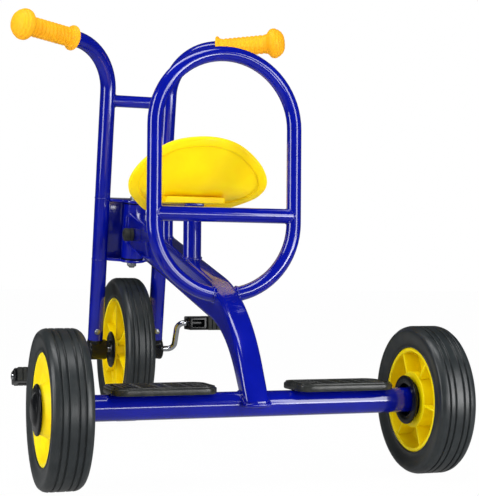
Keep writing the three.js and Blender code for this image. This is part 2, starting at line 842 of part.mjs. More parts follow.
// The handle grip as a turned shape: collar, waved body and a domed knob at the end
function grip() {
  const bore = (legRadius + seatGap) * circleOutset(gripSides);
  const bodyStart = gripWall;
  const knobStart = gripLength - gripWall * 3;
  const profile = [
    [bore, 0],
    [gripCollarRadius, 0],
    [gripCollarRadius, gripWall / 2],
    [gripBodyRadius, bodyStart],
  ];
  for (let i = 1; i < 2 * gripWaves; i += 1) {
    const place = bodyStart + (knobStart - bodyStart) * i / (2 * gripWaves);
    profile.push([gripBodyRadius - (i % 2) * gripWaveDepth, place]);
  }
  profile.push([gripBodyRadius, knobStart]);
  gripKnobShares.forEach(([out, along]) => {
    profile.push([gripKnobRadius * out, knobStart + (gripLength - knobStart) * along]);
  });
  profile.push([0, gripTubeEnd + seatGap], [bore, gripTubeEnd + seatGap]);
  const body = turned(profile, gripSides);
  const turn = new THREE.Quaternion().setFromUnitVectors(new THREE.Vector3(1, 0, 0), gripDirection);
  const start = gripCorner.clone().addScaledVector(gripDirection, gripStart);
  return body.applyQuaternion(turn).translate(...start.toArray());
}

function legRivet() {
  const face = legRadius + seatGap;
  const head = 2 * rivetRadius;
  const dome = rivetRadius;
  return turned([
    [0, -face - dome],
    [head, -face],
    [rivetRadius, -face],
    [rivetRadius, face],
    [head, face],
    [rivetRadius, face + dome],
    [0, face + dome],
  ], smallSides).rotateZ(Math.PI / 2).translate(legSpacing, -forkOffset, -axleDrop + rivetHeight);
}

// Bearing block: a barrel for the crank under the leg and a plug inside it
function bearingBlock() {
  const barrel = barAlongX(blockRadius, blockInner, blockOuter, hubSides)
    .translate(0, axleSpot.y, axleSpot.z);
  const plug = barAlongZ(legRadius - wallThickness - seatGap, 0, plugLength, tubeSides)
    .translate(legSpacing, axleSpot.y, axleSpot.z);
  const bore = barAlongX((crankRadius + runningGap) * circleOutset(tubeSides), blockInner - overrun,
    blockOuter + overrun, tubeSides).translate(0, axleSpot.y, axleSpot.z);
  const hole = rivetTool((rivetRadius + seatGap) * circleOutset(smallSides), overrun);
  return cut(join(barrel, plug), bore, hole);
}

for (const { side, sign } of flanks) {
  addPiece(fork, `fork_leg_${side}`, 'blue', mirrored(forkLeg(), sign));
  addPiece(fork, `grip_${side}`, 'grip', mirrored(grip(), sign));
  addPiece(fork, `leg_rivet_${side}`, 'zinc', mirrored(legRivet(), sign));
  addPiece(fork, `bearing_block_${side}`, 'black', mirrored(bearingBlock(), sign));
}

// Both legs as tools that cope what is welded between them
function legTools() {
  return flanks.map(({ sign }) => barAlongZ(legRadius + seatGap, -axleDrop, legTop)
    .translate(sign * legSpacing, -forkOffset, 0));
}

const forkCrossbarPlace = (handlebarHeight - forkCrossbarDrop - headHeight - forkOffset * Math.sin(rakeAngle))
  / Math.cos(rakeAngle);
addPiece(fork, 'fork_crossbar', 'blue', cut(
  barAlongX(forkCrossbarRadius, -legSpacing, legSpacing).translate(0, -forkOffset, forkCrossbarPlace),
  ...legTools(),
));

// Folded yoke: a web ahead of the head tube and a plate over and under it
const yokeInnerHalf = headTubeLength / 2 + seatGap + bushFlange + facingGap;
const yokeHalf = yokeInnerHalf + yokePlate;

function steeringYoke() {
  const outer = boxBetween([-legSpacing, -yokeFrontReach, -yokeHalf], [legSpacing, yokeRearReach, yokeHalf]);
  const inner = boxBetween(
    [-legSpacing - overrun, -yokeFrontReach + yokePlate, -yokeInnerHalf],
    [legSpacing + overrun, yokeRearReach + overrun, yokeInnerHalf],
  );
  const outside = flanks.map(({ sign }) => boxBetween(
    [Math.min(sign * legSpacing, sign * (legSpacing + overrun)), -wheelBase, -axleDrop],
    [Math.max(sign * legSpacing, sign * (legSpacing + overrun)), wheelBase, axleDrop],
  ));
  const rearCorners = flanks.map(({ sign }) => boxBetween(
    [Math.min(sign * (legSpacing - legRadius), sign * 2 * legSpacing), -forkOffset, -axleDrop],
    [Math.max(sign * (legSpacing - legRadius), sign * 2 * legSpacing), wheelBase, axleDrop],
  ));
  const frontCorners = flanks.map(({ sign }) => boxBetween(
    [Math.min(sign * (legSpacing - legRadius / 2), sign * 2 * legSpacing), -wheelBase, -axleDrop],
    [Math.max(sign * (legSpacing - legRadius / 2), sign * 2 * legSpacing), -forkOffset, axleDrop],
  ));
  const pinHole = barAlongZ((kingpinRadius + seatGap) * circleOutset(tubeSides), -2 * yokeHalf, 2 * yokeHalf);
  return cut(outer, inner, ...outside, ...rearCorners, ...frontCorners, ...legTools(), pinHole);
}
addPiece(fork, 'steering_yoke', 'blue', steeringYoke());

// Kingpin: a bolt down through the yoke and the bushes, with a nut under the yoke
const kingpinHead = 2 * kingpinRadius;
const kingpinNutRadius = 10;
const kingpinNutHeight = 10;
addPiece(fork, 'kingpin', 'zinc', turned([
  [0, -yokeHalf - seatGap - kingpinNutHeight - kingpinRadius / 2],
  [kingpinRadius, -yokeHalf - seatGap - kingpinNutHeight - kingpinRadius / 2],
  [kingpinRadius, yokeHalf + seatGap],
  [kingpinHead, yokeHalf + seatGap],
  [kingpinNutRadius, yokeHalf + seatGap + kingpinRadius],
  [0, yokeHalf + seatGap + kingpinRadius],
], tubeSides).rotateY(-Math.PI / 2));
addPiece(fork, 'kingpin_nut', 'zinc', turned([
  [(kingpinRadius + seatGap) * circleOutset(tubeSides), -yokeHalf - seatGap - kingpinNutHeight],
  [kingpinNutRadius, -yokeHalf - seatGap - kingpinNutHeight],
  [kingpinNutRadius, -yokeHalf - seatGap],
  [(kingpinRadius + seatGap) * circleOutset(tubeSides), -yokeHalf - seatGap],
], tubeSides).rotateY(-Math.PI / 2));

// Wheels

// One flank of a tyre, from the rim to the tread: shares of the rubber's depth and of the half width
const tyreFlankShares = [[0, 0.83], [0.3, 0.86], [0.7, 1], [0.86, 0.97], [0.95, 0.84], [1, 0.62]];

// Places of the tread's grooves: shares of the half width
const tyreGrooveShares = [-0.55, -0.24, 0.24, 0.55];

// A solid tyre with grooves round its tread
function tyre(radius, rimRadius) {
  const inner = rimRadius + seatGap;
  const flank = tyreFlankShares.map(([up, out]) => [inner + (radius - inner) * up, -out * tyreWidth / 2]);
  const profile = [...flank];
  tyreGrooveShares.forEach((out) => {
    const place = out * tyreWidth / 2;
    profile.push([radius, place - tyreGrooveWidth / 2]);
    profile.push([radius - tyreGrooveDepth, place]);
    profile.push([radius, place + tyreGrooveWidth / 2]);
  });
  const otherFlank = flank.map(([out, place]) => [out, -place]).reverse();
  const outset = circleOutset(tyreSides);
  return turned([...profile, ...otherFlank].map(([out, place]) => [out * outset, place]), tyreSides);
}

function ribs(inner, outer, from, to, tilt) {
  return Array.from({ length: ribCount }, (unused, i) => boxBetween(
    [from, -ribThickness / 2, inner],
    [to, ribThickness / 2, outer],
  ).rotateX(tilt + 2 * Math.PI * i / ribCount));
}

const rimRing = 6;
const webThickness = 6;

const cupBore = axleTubeRadius + cupRoom;
const cupRadius = cupBore + cupWall;

// Rear rim: outside a dish round a boss for the hub cap, and inside a deep recess with ribs
// round a flat land, into which the hub cup is sunk
function rearRim() {
  const inside = rearRimRadius - rimRing;
  const webInner = webThickness / 2;
  const webOuter = webInner + webThickness;
  const cupSeat = (cupRadius + seatGap) * circleOutset(rimSides);
  const profile = [
    [axleBore, -rearHubInner],
    [cupSeat, -rearHubInner],
    [cupSeat, -rearLandHalf],
    [rearLandRadius, -rearLandHalf],
    [rearLandRadius, webInner],
    [inside, webInner],
    [inside, -rearRimHalf],
    [rearRimRadius, -rearRimHalf],
    [rearRimRadius, rearRimHalf],
    [inside, rearRimHalf],
    [inside - rimRing / 2, webOuter + webThickness],
    [rearLandRadius, webOuter],
    [rearBossRadius, rearHubOuter],
    [rearBossRadius - rimRing, rearHubOuter],
    [rearBossRadius - rimRing, webOuter],
    [hubRadius, webOuter],
    [hubRadius, rearHubOuter],
    [axleBore, rearHubOuter],
  ];
  const spokes = ribs(rearLandRadius - rimRing / 2, inside + rimRing / 2, -rearLandHalf,
    webInner + webThickness / 2, rearRibTilt);
  return join(turned(profile, rimSides), ...spokes);
}

// Front rim: a web in the middle with ribs on both sides
function frontRim() {
  const inside = frontRimRadius - rimRing;
  const web = webThickness / 2;
  const bore = (crankRadius + seatGap) * circleOutset(tubeSides);
  const profile = [
    [bore, -frontHubHalf],
    [hubRadius, -frontHubHalf],
    [hubRadius, -web],
    [inside, -web],
    [inside, -frontRimHalf],
    [frontRimRadius, -frontRimHalf],
    [frontRimRadius, frontRimHalf],
    [inside, frontRimHalf],
    [inside, web],
    [hubRadius, web],
    [hubRadius, frontHubHalf],
    [bore, frontHubHalf],
  ];
  const reach = frontRimHalf - rimRing;
  const spokes = ribs(hubRadius - rimRing / 2, inside + rimRing / 2, -reach, reach, 0);
  return join(turned(profile, rimSides), ...spokes);
}

const frontAxle = new THREE.Group();
frontAxle.position.set(0, -wheelBase, frontWheelRadius);
trike.add(frontAxle);
addPiece(frontAxle, 'front_tyre', 'tyre', tyre(frontWheelRadius, frontRimRadius));
addPiece(frontAxle, 'front_rim', 'yellow', frontRim());

function frontHubFlange() {
  const bore = (crankRadius + seatGap) * circleOutset(tubeSides);
  const face = frontHubHalf + seatGap;
  const lip = frontFlangeThickness / 3;
  return turned([
    [bore, face],
    [hubFlangeRadius, face],
    [hubFlangeRadius, face + lip],
    [hubFlangeRadius - lip, face + 2 * lip],
    [hubRadius, face + lip],
    [hubRadius - lip, face + frontFlangeThickness],
    [bore, face + frontFlangeThickness],
  ], hubSides);
}

for (const { side, sign } of flanks) {
  addPiece(frontAxle, `front_hub_${side}`, 'black', mirrored(frontHubFlange(), sign));
}

// The crank: one bent rod through the hub, with the right pedal up and the left one down
const crankUp = new THREE.Vector3(0, Math.sin(crankTilt), Math.cos(crankTilt)).multiplyScalar(crankThrow);
const spindleEnd = pedalInner + pedalLength + runningGap + crankRadius / 2;

const crankBendSteps = 3;

function crank() {
  const rightUp = crankUp.clone();
  const leftDown = crankUp.clone().negate();
  const corners = [
    leftDown.clone().setX(spindleEnd),
    leftDown.clone().setX(crankArmPlace),
    new THREE.Vector3(crankArmPlace, 0, 0),
    new THREE.Vector3(-crankArmPlace, 0, 0),
    rightUp.clone().setX(-crankArmPlace),
    rightUp.clone().setX(-spindleEnd),
  ];
  return tubeAlong(roundedStations(corners, crankBend, crankBendSteps), crankRadius);
}
addPiece(frontAxle, 'crank', 'chrome', crank());

// Pedals: a body with a window near the crank, two tread blocks and a retaining cap

const pedalBore = (crankRadius + runningGap) * circleOutset(tubeSides);
const pedalFrame = 6;
const pedalWindow = 27;
const pedalSleeve = 10;

function pedalBody() {
  const half = pedalThickness / 2;
  const body = boxBetween([pedalInner, -pedalCore / 2, -half], [pedalInner + pedalLength, pedalCore / 2, half]);
  const windowBox = boxBetween(
    [pedalInner + pedalFrame, -pedalCore, -half + pedalFrame],
    [pedalInner + pedalFrame + pedalWindow, pedalCore, half - pedalFrame],
  );
  const sleeve = barAlongX(pedalSleeve, pedalInner, pedalInner + pedalLength, tubeSides);
  const bore = barAlongX(pedalBore, pedalInner - overrun, pedalInner + pedalLength + overrun, tubeSides);
  return cut(join(cut(body, windowBox), sleeve), bore);
}

function pedalBlock(facing) {
  const from = pedalInner + 2 * pedalFrame + pedalWindow;
  const to = pedalInner + pedalLength - pedalFrame;
  const near = facing * (pedalCore / 2 + seatGap);
  const far = facing * (pedalCore / 2 + seatGap + pedalTread);
  return boxBetween(
    [from, Math.min(near, far), -pedalThickness / 2],
    [to, Math.max(near, far), pedalThickness / 2],
  );
}

for (const { side, sign } of flanks) {
  const pedal = new THREE.Group();
  pedal.position.copy(crankUp).multiplyScalar(-sign);
  pedal.rotation.x = sign > 0 ? pedalLeftTilt : 0;
  frontAxle.add(pedal);
  addPiece(pedal, `pedal_${side}`, 'black', mirrored(pedalBody(), sign));
  addPiece(pedal, `pedal_tread_rear_${side}`, 'rubber', mirrored(pedalBlock(1), sign));
  addPiece(pedal, `pedal_tread_front_${side}`, 'rubber', mirrored(pedalBlock(-1), sign));
}

// Rear wheels

// Hub cup: sunk in the rim, its wide lip standing off the rim's face. The end of the axle tube
// stands inside it.
function rearHubCup() {
  const bottom = -rearHubInner - seatGap;
  const lip = -rearLandHalf - seatGap - cupStand;
  return turned([
    [axleBore, bottom],
    [cupRadius, bottom],
    [cupRadius, lip],
    [hubFlangeRadius, lip],
    [hubFlangeRadius, lip - cupWall],
    [cupBore, lip - cupWall],
    [cupBore, bottom - cupFloor],
    [axleBore, bottom - cupFloor],
  ], hubSides);
}

// The hub cap's outline: shares of its radius and of its height
const hubCapShares = [
  [1, 0], [1, 0.3], [0.88, 0.38], [0.66, 0.42], [0.6, 0.6], [0.34, 0.95], [0, 1],
];

function hubCap() {
  const face = rearHubOuter + seatGap;
  const cavity = nutRadius + 3 * facingGap;
  const depth = axleHalf - wheelPlane - face + 2 * facingGap;
  const dome = hubCapShares.map(([out, up]) => [hubCapRadius * out, face + hubCapHeight * up]);
  return turned([[cavity, face], ...dome, [0, face + depth], [cavity, face + depth]], hubSides);
}

for (const { side, sign } of flanks) {
  const wheel = new THREE.Group();
  wheel.position.set(sign * wheelPlane, 0, rearWheelRadius);
  trike.add(wheel);
  addPiece(wheel, `rear_tyre_${side}`, 'tyre', mirrored(tyre(rearWheelRadius, rearRimRadius), sign));
  addPiece(wheel, `rear_rim_${side}`, 'yellow', mirrored(rearRim(), sign));
  addPiece(wheel, `rear_hub_${side}`, 'black', mirrored(rearHubCup(), sign));
  addPiece(wheel, `hub_cap_${side}`, 'black', mirrored(hubCap(), sign));
}

export default trike;
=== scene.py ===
"""Looks of a two-rider tricycle: a saddle in front, standing plates and a hand hoop behind.

Sizes in this file are in millimetres in the model's frame: +Z up, the tricycle faces -Y,
+X is the rider's left, and the origin is on the ground in the middle of the footprint.
Every helper turns them into metres.
"""
import math

import bmesh
import bpy
from mathutils import Matrix, Vector


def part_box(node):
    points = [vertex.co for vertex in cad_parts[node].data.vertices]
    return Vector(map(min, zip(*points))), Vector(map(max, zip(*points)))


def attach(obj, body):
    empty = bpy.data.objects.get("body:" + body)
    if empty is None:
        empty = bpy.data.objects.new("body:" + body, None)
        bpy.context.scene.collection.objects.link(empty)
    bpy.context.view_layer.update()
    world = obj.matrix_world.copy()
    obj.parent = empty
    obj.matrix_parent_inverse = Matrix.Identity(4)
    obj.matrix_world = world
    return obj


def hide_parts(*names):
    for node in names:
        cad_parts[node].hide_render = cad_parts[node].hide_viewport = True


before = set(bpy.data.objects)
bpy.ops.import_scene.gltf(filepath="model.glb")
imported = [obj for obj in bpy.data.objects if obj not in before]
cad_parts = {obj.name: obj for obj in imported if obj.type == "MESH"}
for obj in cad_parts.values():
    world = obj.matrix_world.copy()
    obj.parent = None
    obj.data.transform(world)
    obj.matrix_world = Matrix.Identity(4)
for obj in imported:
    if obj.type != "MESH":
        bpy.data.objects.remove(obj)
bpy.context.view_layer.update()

MM = 0.001
SIDES = {"left": 1, "right": -1}

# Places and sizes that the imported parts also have, in millimetres
FIT_GAP = 0.3
REAR_AXLE = Vector((0, 411.5, 114))
REAR_WHEEL_X = 287
REAR_RADIUS = 114
REAR_RIM_RADIUS = 80
FRONT_AXLE = Vector((0, -375.5, 150))
FRONT_RADIUS = 150
FRONT_RIM_RADIUS = 108
TYRE_WIDTH = 58
TREAD_GROOVES = (-0.55, -0.24, 0.24, 0.55)
RIM_RIBS = 6
RIB_THICKNESS = 3.6
REAR_RIB_TURN = 22
CRANK_ROD = 6
CRANK_THROW = 62
CRANK_LEAN = math.radians(27)
PEDAL_INNER = 127
PEDAL_LENGTH = 102
PEDAL_BORE = 6.35
LEFT_PEDAL_TILT = math.radians(16)
RAKE = math.radians(10.5)
FORK_OFFSET = 19
HEAD_HEIGHT = 397


def up_the_fork(height):
    """Place along the steering axis at which the fork's line is this high above the ground."""
    return (height - HEAD_HEIGHT - FORK_OFFSET * math.sin(RAKE)) / math.cos(RAKE)


AXLE_DROP = -up_the_fork(FRONT_RADIUS)
HEAD_PLACE = Vector((0, FRONT_AXLE.y + FORK_OFFSET * math.cos(RAKE) + AXLE_DROP * math.sin(RAKE),
                     HEAD_HEIGHT))
HEAD_RADIUS = 23
HEAD_HALF = 56
YOKE_PLATE = 5
YOKE_INNER_HALF = HEAD_HALF + 2.8
YOKE_HALF = YOKE_INNER_HALF + YOKE_PLATE
LEG_SPACING = 64
LEG_RADIUS = 15.7
LEG_BEND = 100
LEG_TOP = up_the_fork(760)
GRIP_SWEEP = math.radians(26)
GRIP_RISE = math.radians(9)
GRIP_START = 94
GRIP_LENGTH = 139
CROSSBAR_PLACE = up_the_fork(658)
CROSSBAR_RADIUS = 12
HOOP_Y = 283.5
HOOP_RADIUS = 117
HOOP_TUBE = 11.9
HOOP_TOP = 541
HOOP_LOW = 390
HOOP_BAR_Z = 401
AXLE_TUBE = 19
AXLE_TUBE_BORE = 16
TUBE_WIDTH = 38
TUBE_EDGE = 8
FOOTPLATE_X = 140
SADDLE_TILT = math.radians(2.4)
RAIL_REAR = Vector((0, REAR_AXLE.y - 289, 428.5))

LEAN = Matrix.Translation(HEAD_PLACE * MM) @ Matrix.Rotation(-RAKE, 4, "X")
ON_RAIL = Matrix.Translation(RAIL_REAR * MM) @ Matrix.Rotation(-SADDLE_TILT, 4, "X")


def linear(hex_colour):
    """The linear colour of an sRGB hex value."""
    parts = [int(hex_colour[i:i + 2], 16) / 255 for i in (1, 3, 5)]
    return tuple(c / 12.92 if c <= 0.04045 else ((c + 0.055) / 1.055) ** 2.4 for c in parts) + (1.0,)


# Handling pieces

def deselect_all():
    if bpy.context.mode != "OBJECT":
        bpy.ops.object.mode_set(mode="OBJECT")
    bpy.ops.object.select_all(action="DESELECT")


def take(piece):
    """Selects one piece alone and makes it active."""
    deselect_all()
    piece.select_set(True)
    bpy.context.view_layer.objects.active = piece
    return piece


def started(name):
    """Names the primitive that was just added and opens it in edit mode, all selected."""
    piece = bpy.context.active_object
    piece.name = name
    piece.data.name = name
    bpy.ops.object.transform_apply(location=True, rotation=True, scale=True)
    bpy.ops.object.mode_set(mode="EDIT")
    bpy.ops.mesh.select_mode(type="VERT")
    bpy.ops.mesh.select_all(action="SELECT")
    return piece


def chosen():
    """Indices of the vertices that are selected in edit mode."""
    return [v.index for v in bmesh.from_edit_mesh(bpy.context.edit_object.data).verts if v.select]


def choose(indices):
    """Selects these vertices, and what lies wholly between them, in edit mode."""
    shape = bmesh.from_edit_mesh(bpy.context.edit_object.data)
    wanted = set(indices)
    shape.verts.ensure_lookup_table()
    for face in shape.faces:
        face.select = False
    for edge in shape.edges:
        edge.select = False
    for vertex in shape.verts:
        vertex.select = vertex.index in wanted
    shape.select_flush(True)
    bmesh.update_edit_mesh(bpy.context.edit_object.data)


def piece_point(index):
    """A vertex's place in millimetres, in edit mode."""
    shape = bmesh.from_edit_mesh(bpy.context.edit_object.data)
    shape.verts.ensure_lookup_table()
    return shape.verts[index].co / MM


def closed(piece, weld=0.02):
    """Merges doubles, fills open ends, turns the faces outwards and leaves edit mode."""
    bpy.ops.mesh.select_all(action="SELECT")
    bpy.ops.mesh.remove_doubles(threshold=weld * MM)
    bpy.ops.mesh.fill_holes(sides=0)
    bpy.ops.mesh.select_all(action="SELECT")
    bpy.ops.mesh.normals_make_consistent(inside=False)
    bpy.ops.object.mode_set(mode="OBJECT")
    return piece


def smooth(piece, degrees=32):
    take(piece)
    bpy.ops.object.shade_smooth_by_angle(angle=math.radians(degrees))
    return piece


def finish_with(piece, kind, **settings):
    """Adds a modifier with these settings and applies it."""
    take(piece)
    modifier = piece.modifiers.new(kind.lower(), kind)
    for key, value in settings.items():
        setattr(modifier, key, value)
    bpy.ops.object.modifier_apply(modifier=modifier.name)
    return piece


def eased(piece, width, segments=3, degrees=30):
    """Rounds the piece's sharp edges."""
    return finish_with(piece, "BEVEL", width=width * MM, segments=segments, limit_method="ANGLE",
                       angle_limit=math.radians(degrees), harden_normals=False)


def carved(piece, tool):
    """Cuts the tool's shape out of the piece and removes the tool."""
    finish_with(piece, "BOOLEAN", object=tool, operation="DIFFERENCE", solver="EXACT")
    bpy.data.objects.remove(tool)
    return piece


def placed(piece, matrix):
    """Moves the mesh itself, so that the object stays at the origin."""
    take(piece)
    piece.matrix_world = matrix @ piece.matrix_world
    bpy.ops.object.transform_apply(location=True, rotation=True, scale=True)
    return piece


def faces_out(piece):
    """Turns a closed piece's faces outwards."""
    take(piece)
    bpy.ops.object.mode_set(mode="EDIT")
    bpy.ops.mesh.select_all(action="SELECT")
    bpy.ops.mesh.normals_make_consistent(inside=False)
    bpy.ops.object.mode_set(mode="OBJECT")
    return piece


def copy_of(piece, name, matrix=Matrix.Identity(4)):
    """A copy with its own mesh, moved by the matrix. A mirrored copy gets its faces turned back out."""
    take(piece)
    bpy.ops.object.duplicate(linked=False)
    twin = bpy.context.active_object
    twin.name = name
    twin.data.name = name
    placed(twin, matrix)
    return faces_out(twin) if matrix.determinant() < 0 else twin


MIRROR = Matrix.Scale(-1, 4, (1, 0, 0))


def joined(name, *pieces):
    """One object from several meshes, each of them closed."""
    take(pieces[0])
    for piece in pieces[1:]:
        piece.select_set(True)
    bpy.ops.object.join()
    piece = bpy.context.active_object
    piece.name = name
    piece.data.name = name
    return piece


def dressed(piece, material, body, slot, *nodes):
    """Gives the piece its material and its body, and hides the parts that it stands for. The slot is not
    used.
    """
    piece.data.materials.clear()
    piece.data.materials.append(material)
    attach(piece, body)
    if nodes:
        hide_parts(*nodes)
    return piece


def shaped(piece, matrix, material, body, slot, *nodes, angle=32):
    """Sets a piece in its place, smooths it and dresses it."""
    placed(piece, matrix)
    smooth(piece, angle)
    return dressed(piece, material, body, slot, *nodes)


def both_sides(piece, node, material, body, slot):
    """Dresses a left piece and its mirror image. The node's name leaves room for the side."""
    other = copy_of(piece, node % "right" + "_shell", MIRROR)
    dressed(piece, material, body, slot, node % "left")
    dressed(other, material, body, slot, node % "right")


# Shapes grown from a first circle or square

def turned(name, rings, sides=64):
    """A round piece about its own Z, grown ring by ring: each ring is (radius, place along Z)."""
    deselect_all()
    first, height = rings[0]
    bpy.ops.mesh.primitive_circle_add(vertices=sides, radius=first * MM, location=(0, 0, height * MM))
    piece = started(name)
    radius = first
    for target, place in rings[1:]:
        bpy.ops.mesh.extrude_region_move(TRANSFORM_OT_translate={"value": (0, 0, (place - height) * MM)})
        share = target / radius
        bpy.ops.transform.resize(value=(share, share, 1), center_override=(0, 0, place * MM))
        radius, height = target, place
    return closed(piece)


def along(direction, place=(0, 0, 0)):
    """The matrix that turns Z to a direction and moves to a place in millimetres."""
    turn = Vector((0, 0, 1)).rotation_difference(Vector(direction).normalized()).to_matrix().to_4x4()
    return Matrix.Translation(Vector(place) * MM) @ turn


def turned_on(name, rings, direction, place, material, body, slot, *nodes, sides=64, angle=32):
    """A turned piece set on an axis."""
    return shaped(turned(name, rings, sides), along(direction, place), material, body, slot, *nodes,
                  angle=angle)


def pipe(outer, bore, low, high):
    """Rings of a hollow tube with slightly rounded rims."""
    ease = 0.7
    return [(bore, low), (outer - ease, low), (outer, low + ease), (outer, high - ease), (outer - ease, high),
            (bore, high), (bore, low)]


def bent_tube(name, radius, start, heading, moves, sides=40):
    """A round tube grown from a circle. Moves are ("run", length) or ("bend", radius, degrees, axis)."""
    deselect_all()
    heading = Vector(heading).normalized()
    point = Vector(start)
    turn = Vector((0, 0, 1)).rotation_difference(heading).to_euler()
    bpy.ops.mesh.primitive_circle_add(vertices=sides, radius=radius * MM, location=point * MM, rotation=turn)
    piece = started(name)
    for move in moves:
        if move[0] == "run":
            bpy.ops.mesh.extrude_region_move(TRANSFORM_OT_translate={"value": heading * move[1] * MM})
            point += heading * move[1]
            continue
        bend, degrees, axis = move[1], move[2], Vector(move[3]).normalized()
        centre = point + axis.cross(heading) * bend
        steps = max(6, round(degrees / 5))
        # Spin turns against the right-hand rule.
        bpy.ops.mesh.spin(steps=steps, angle=-math.radians(degrees), center=centre * MM, axis=axis)
        turning = Matrix.Rotation(math.radians(degrees), 3, axis)
        point = centre + turning @ (point - centre)
        heading = turning @ heading
    return closed(piece)


def block(name, low, high):
    """A box between two corners, to be shaped further."""
    deselect_all()
    low, high = Vector(low), Vector(high)
    bpy.ops.mesh.primitive_cube_add(size=1, location=(low + high) / 2 * MM, scale=(high - low) * MM)
    piece = started(name)
    return closed(piece)


def plate(name, outline, low, high):
    """A flat plate from an outline in X and Y, pulled up from one height to another."""
    deselect_all()
    bpy.ops.mesh.primitive_circle_add(vertices=len(outline), radius=MM, fill_type="NGON")
    piece = started(name)
    bpy.ops.object.mode_set(mode="OBJECT")
    for vertex, (x, y) in zip(piece.data.vertices, outline):
        vertex.co = Vector((x, y, low)) * MM
    bpy.ops.object.mode_set(mode="EDIT")
    bpy.ops.mesh.select_all(action="SELECT")
    bpy.ops.mesh.extrude_region_move(TRANSFORM_OT_translate={"value": (0, 0, (high - low) * MM)})
    return closed(piece)


def rounded_outline(half_x, half_y, corner, steps=8):
    """Points of a rectangle with round corners, anticlockwise."""
    points = []
    for k, (sx, sy) in enumerate(((1, 1), (-1, 1), (-1, -1), (1, -1))):
        for step in range(steps + 1):
            angle = math.pi / 2 * (k + step / steps)
            points.append((sx * (half_x - corner) + corner * math.cos(angle),
                           sy * (half_y - corner) + corner * math.sin(angle)))
    return points


def ring_points(place, direction, radius, count=56):
    """Points of a circle round a place, square to a direction."""
    direction = Vector(direction).normalized()
    side = direction.orthogonal().normalized()
    other = direction.cross(side)
    return [Vector(place) + radius * (math.cos(a) * side + math.sin(a) * other)
            for a in (2 * math.pi * i / count for i in range(count))]


def onto_tube(points, direction, place, axis, radius):
    """Slides points along a direction until they lie on a tube round an axis."""
    axis = Vector(axis).normalized()
    flat = Vector(direction) - axis * axis.dot(Vector(direction))
    result = []
    for point in points:
        off = point - Vector(place)
        off -= axis * axis.dot(off)
        a, b, c = flat.dot(flat), flat.dot(off), off.dot(off) - radius ** 2
        reach = (-b - math.sqrt(max(0.0, b * b - a * c))) / a
        result.append(point + Vector(direction) * reach)
    return result


def onto_plane(points, direction, place, normal):
    """Slides points along a direction until they lie on a plane."""
    direction, normal = Vector(direction), Vector(normal)
    return [p + direction * ((Vector(place) - p).dot(normal) / direction.dot(normal)) for p in points]


def leaning(points):
    """Points of the upright fork, moved to where the raked fork has them."""
    return [LEAN @ (p * MM) / MM for p in points]


def weld_bead(name, loop, thickness, body):
    """A welder's bead along a closed loop, with the slight ripple of a hand-laid seam."""
    deselect_all()
    bpy.ops.mesh.primitive_circle_add(vertices=len(loop), radius=MM)
    piece = started(name)
    bpy.ops.object.mode_set(mode="OBJECT")
    for vertex, point in zip(piece.data.vertices, loop):
        vertex.co = point * MM
    take(piece)
    bpy.ops.object.convert(target="CURVE")
    curve = bpy.context.active_object.data
    curve.bevel_depth = thickness * MM
    curve.bevel_resolution = 3
    for i, spot in enumerate(curve.splines[0].points):
        spot.radius = 1 + 0.13 * math.sin(i * math.pi / 2) + 0.06 * math.sin(i * 1.3)
    bpy.ops.object.convert(target="MESH")
    piece = bpy.context.active_object
    piece.name = name
    bpy.ops.object.mode_set(mode="EDIT")
    closed(piece)
    smooth(piece, 60)
    return dressed(piece, PAINT, body, "blue")


# Materials

def add_node(tree, kind, settings=None, *feeds, **links):
    """One node with its settings. Feeds go to its first inputs in order, and a link names an input."""
    node = tree.nodes.new(kind)
    for key, value in (settings or {}).items():
        if hasattr(node, key) and key not in node.inputs:
            setattr(node, key, value)
        else:
            node.inputs[key].default_value = value
    for socket, output in enumerate(feeds):
        tree.links.new(output, node.inputs[socket])
    for key, output in links.items():
        tree.links.new(output, node.inputs[key.replace("_", " ")])
    return node


def material_of(name, **surface):
    """A material with a Principled surface: gives its tree, its shader and its Object coordinates."""
    material = bpy.data.materials.new(name)
    material.use_nodes = True
    tree = material.node_tree
    shader = tree.nodes["Principled BSDF"]
    for key, value in surface.items():
        shader.inputs[key.replace("_", " ")].default_value = value
    spots = tree.nodes.new("ShaderNodeTexCoord").outputs["Object"]
    return material, tree, shader, spots


def noise(tree, spots, size, detail=3.0, rough=0.55):
    """Noise whose blotches are about this many millimetres across."""
    settings = {"Scale": 1 / (size * MM), "Detail": detail, "Roughness": rough}
    return add_node(tree, "ShaderNodeTexNoise", settings, Vector=spots)


def ramp(tree, factor, stops):
    """A colour ramp through (place, hex colour) stops."""
    node = add_node(tree, "ShaderNodeValToRGB", None, Fac=factor)
    while len(node.color_ramp.elements) < len(stops):
        node.color_ramp.elements.new(0.5)
    for element, (place, colour) in zip(node.color_ramp.elements, stops):
        element.position = place
        element.color = linear(colour)
    return node.outputs["Color"]


def spread(tree, value, low, high, start=0.0, end=1.0):
    """Maps a value that runs from start to end to a range."""
    settings = {"From Min": start, "From Max": end, "To Min": low, "To Max": high}
    return add_node(tree, "ShaderNodeMapRange", settings, Value=value).outputs["Result"]


def bump(tree, height, depth, strength=1.0):
    """A bump of this many millimetres."""
    settings = {"Strength": strength, "Distance": depth * MM}
    return add_node(tree, "ShaderNodeBump", settings, Height=height).outputs["Normal"]


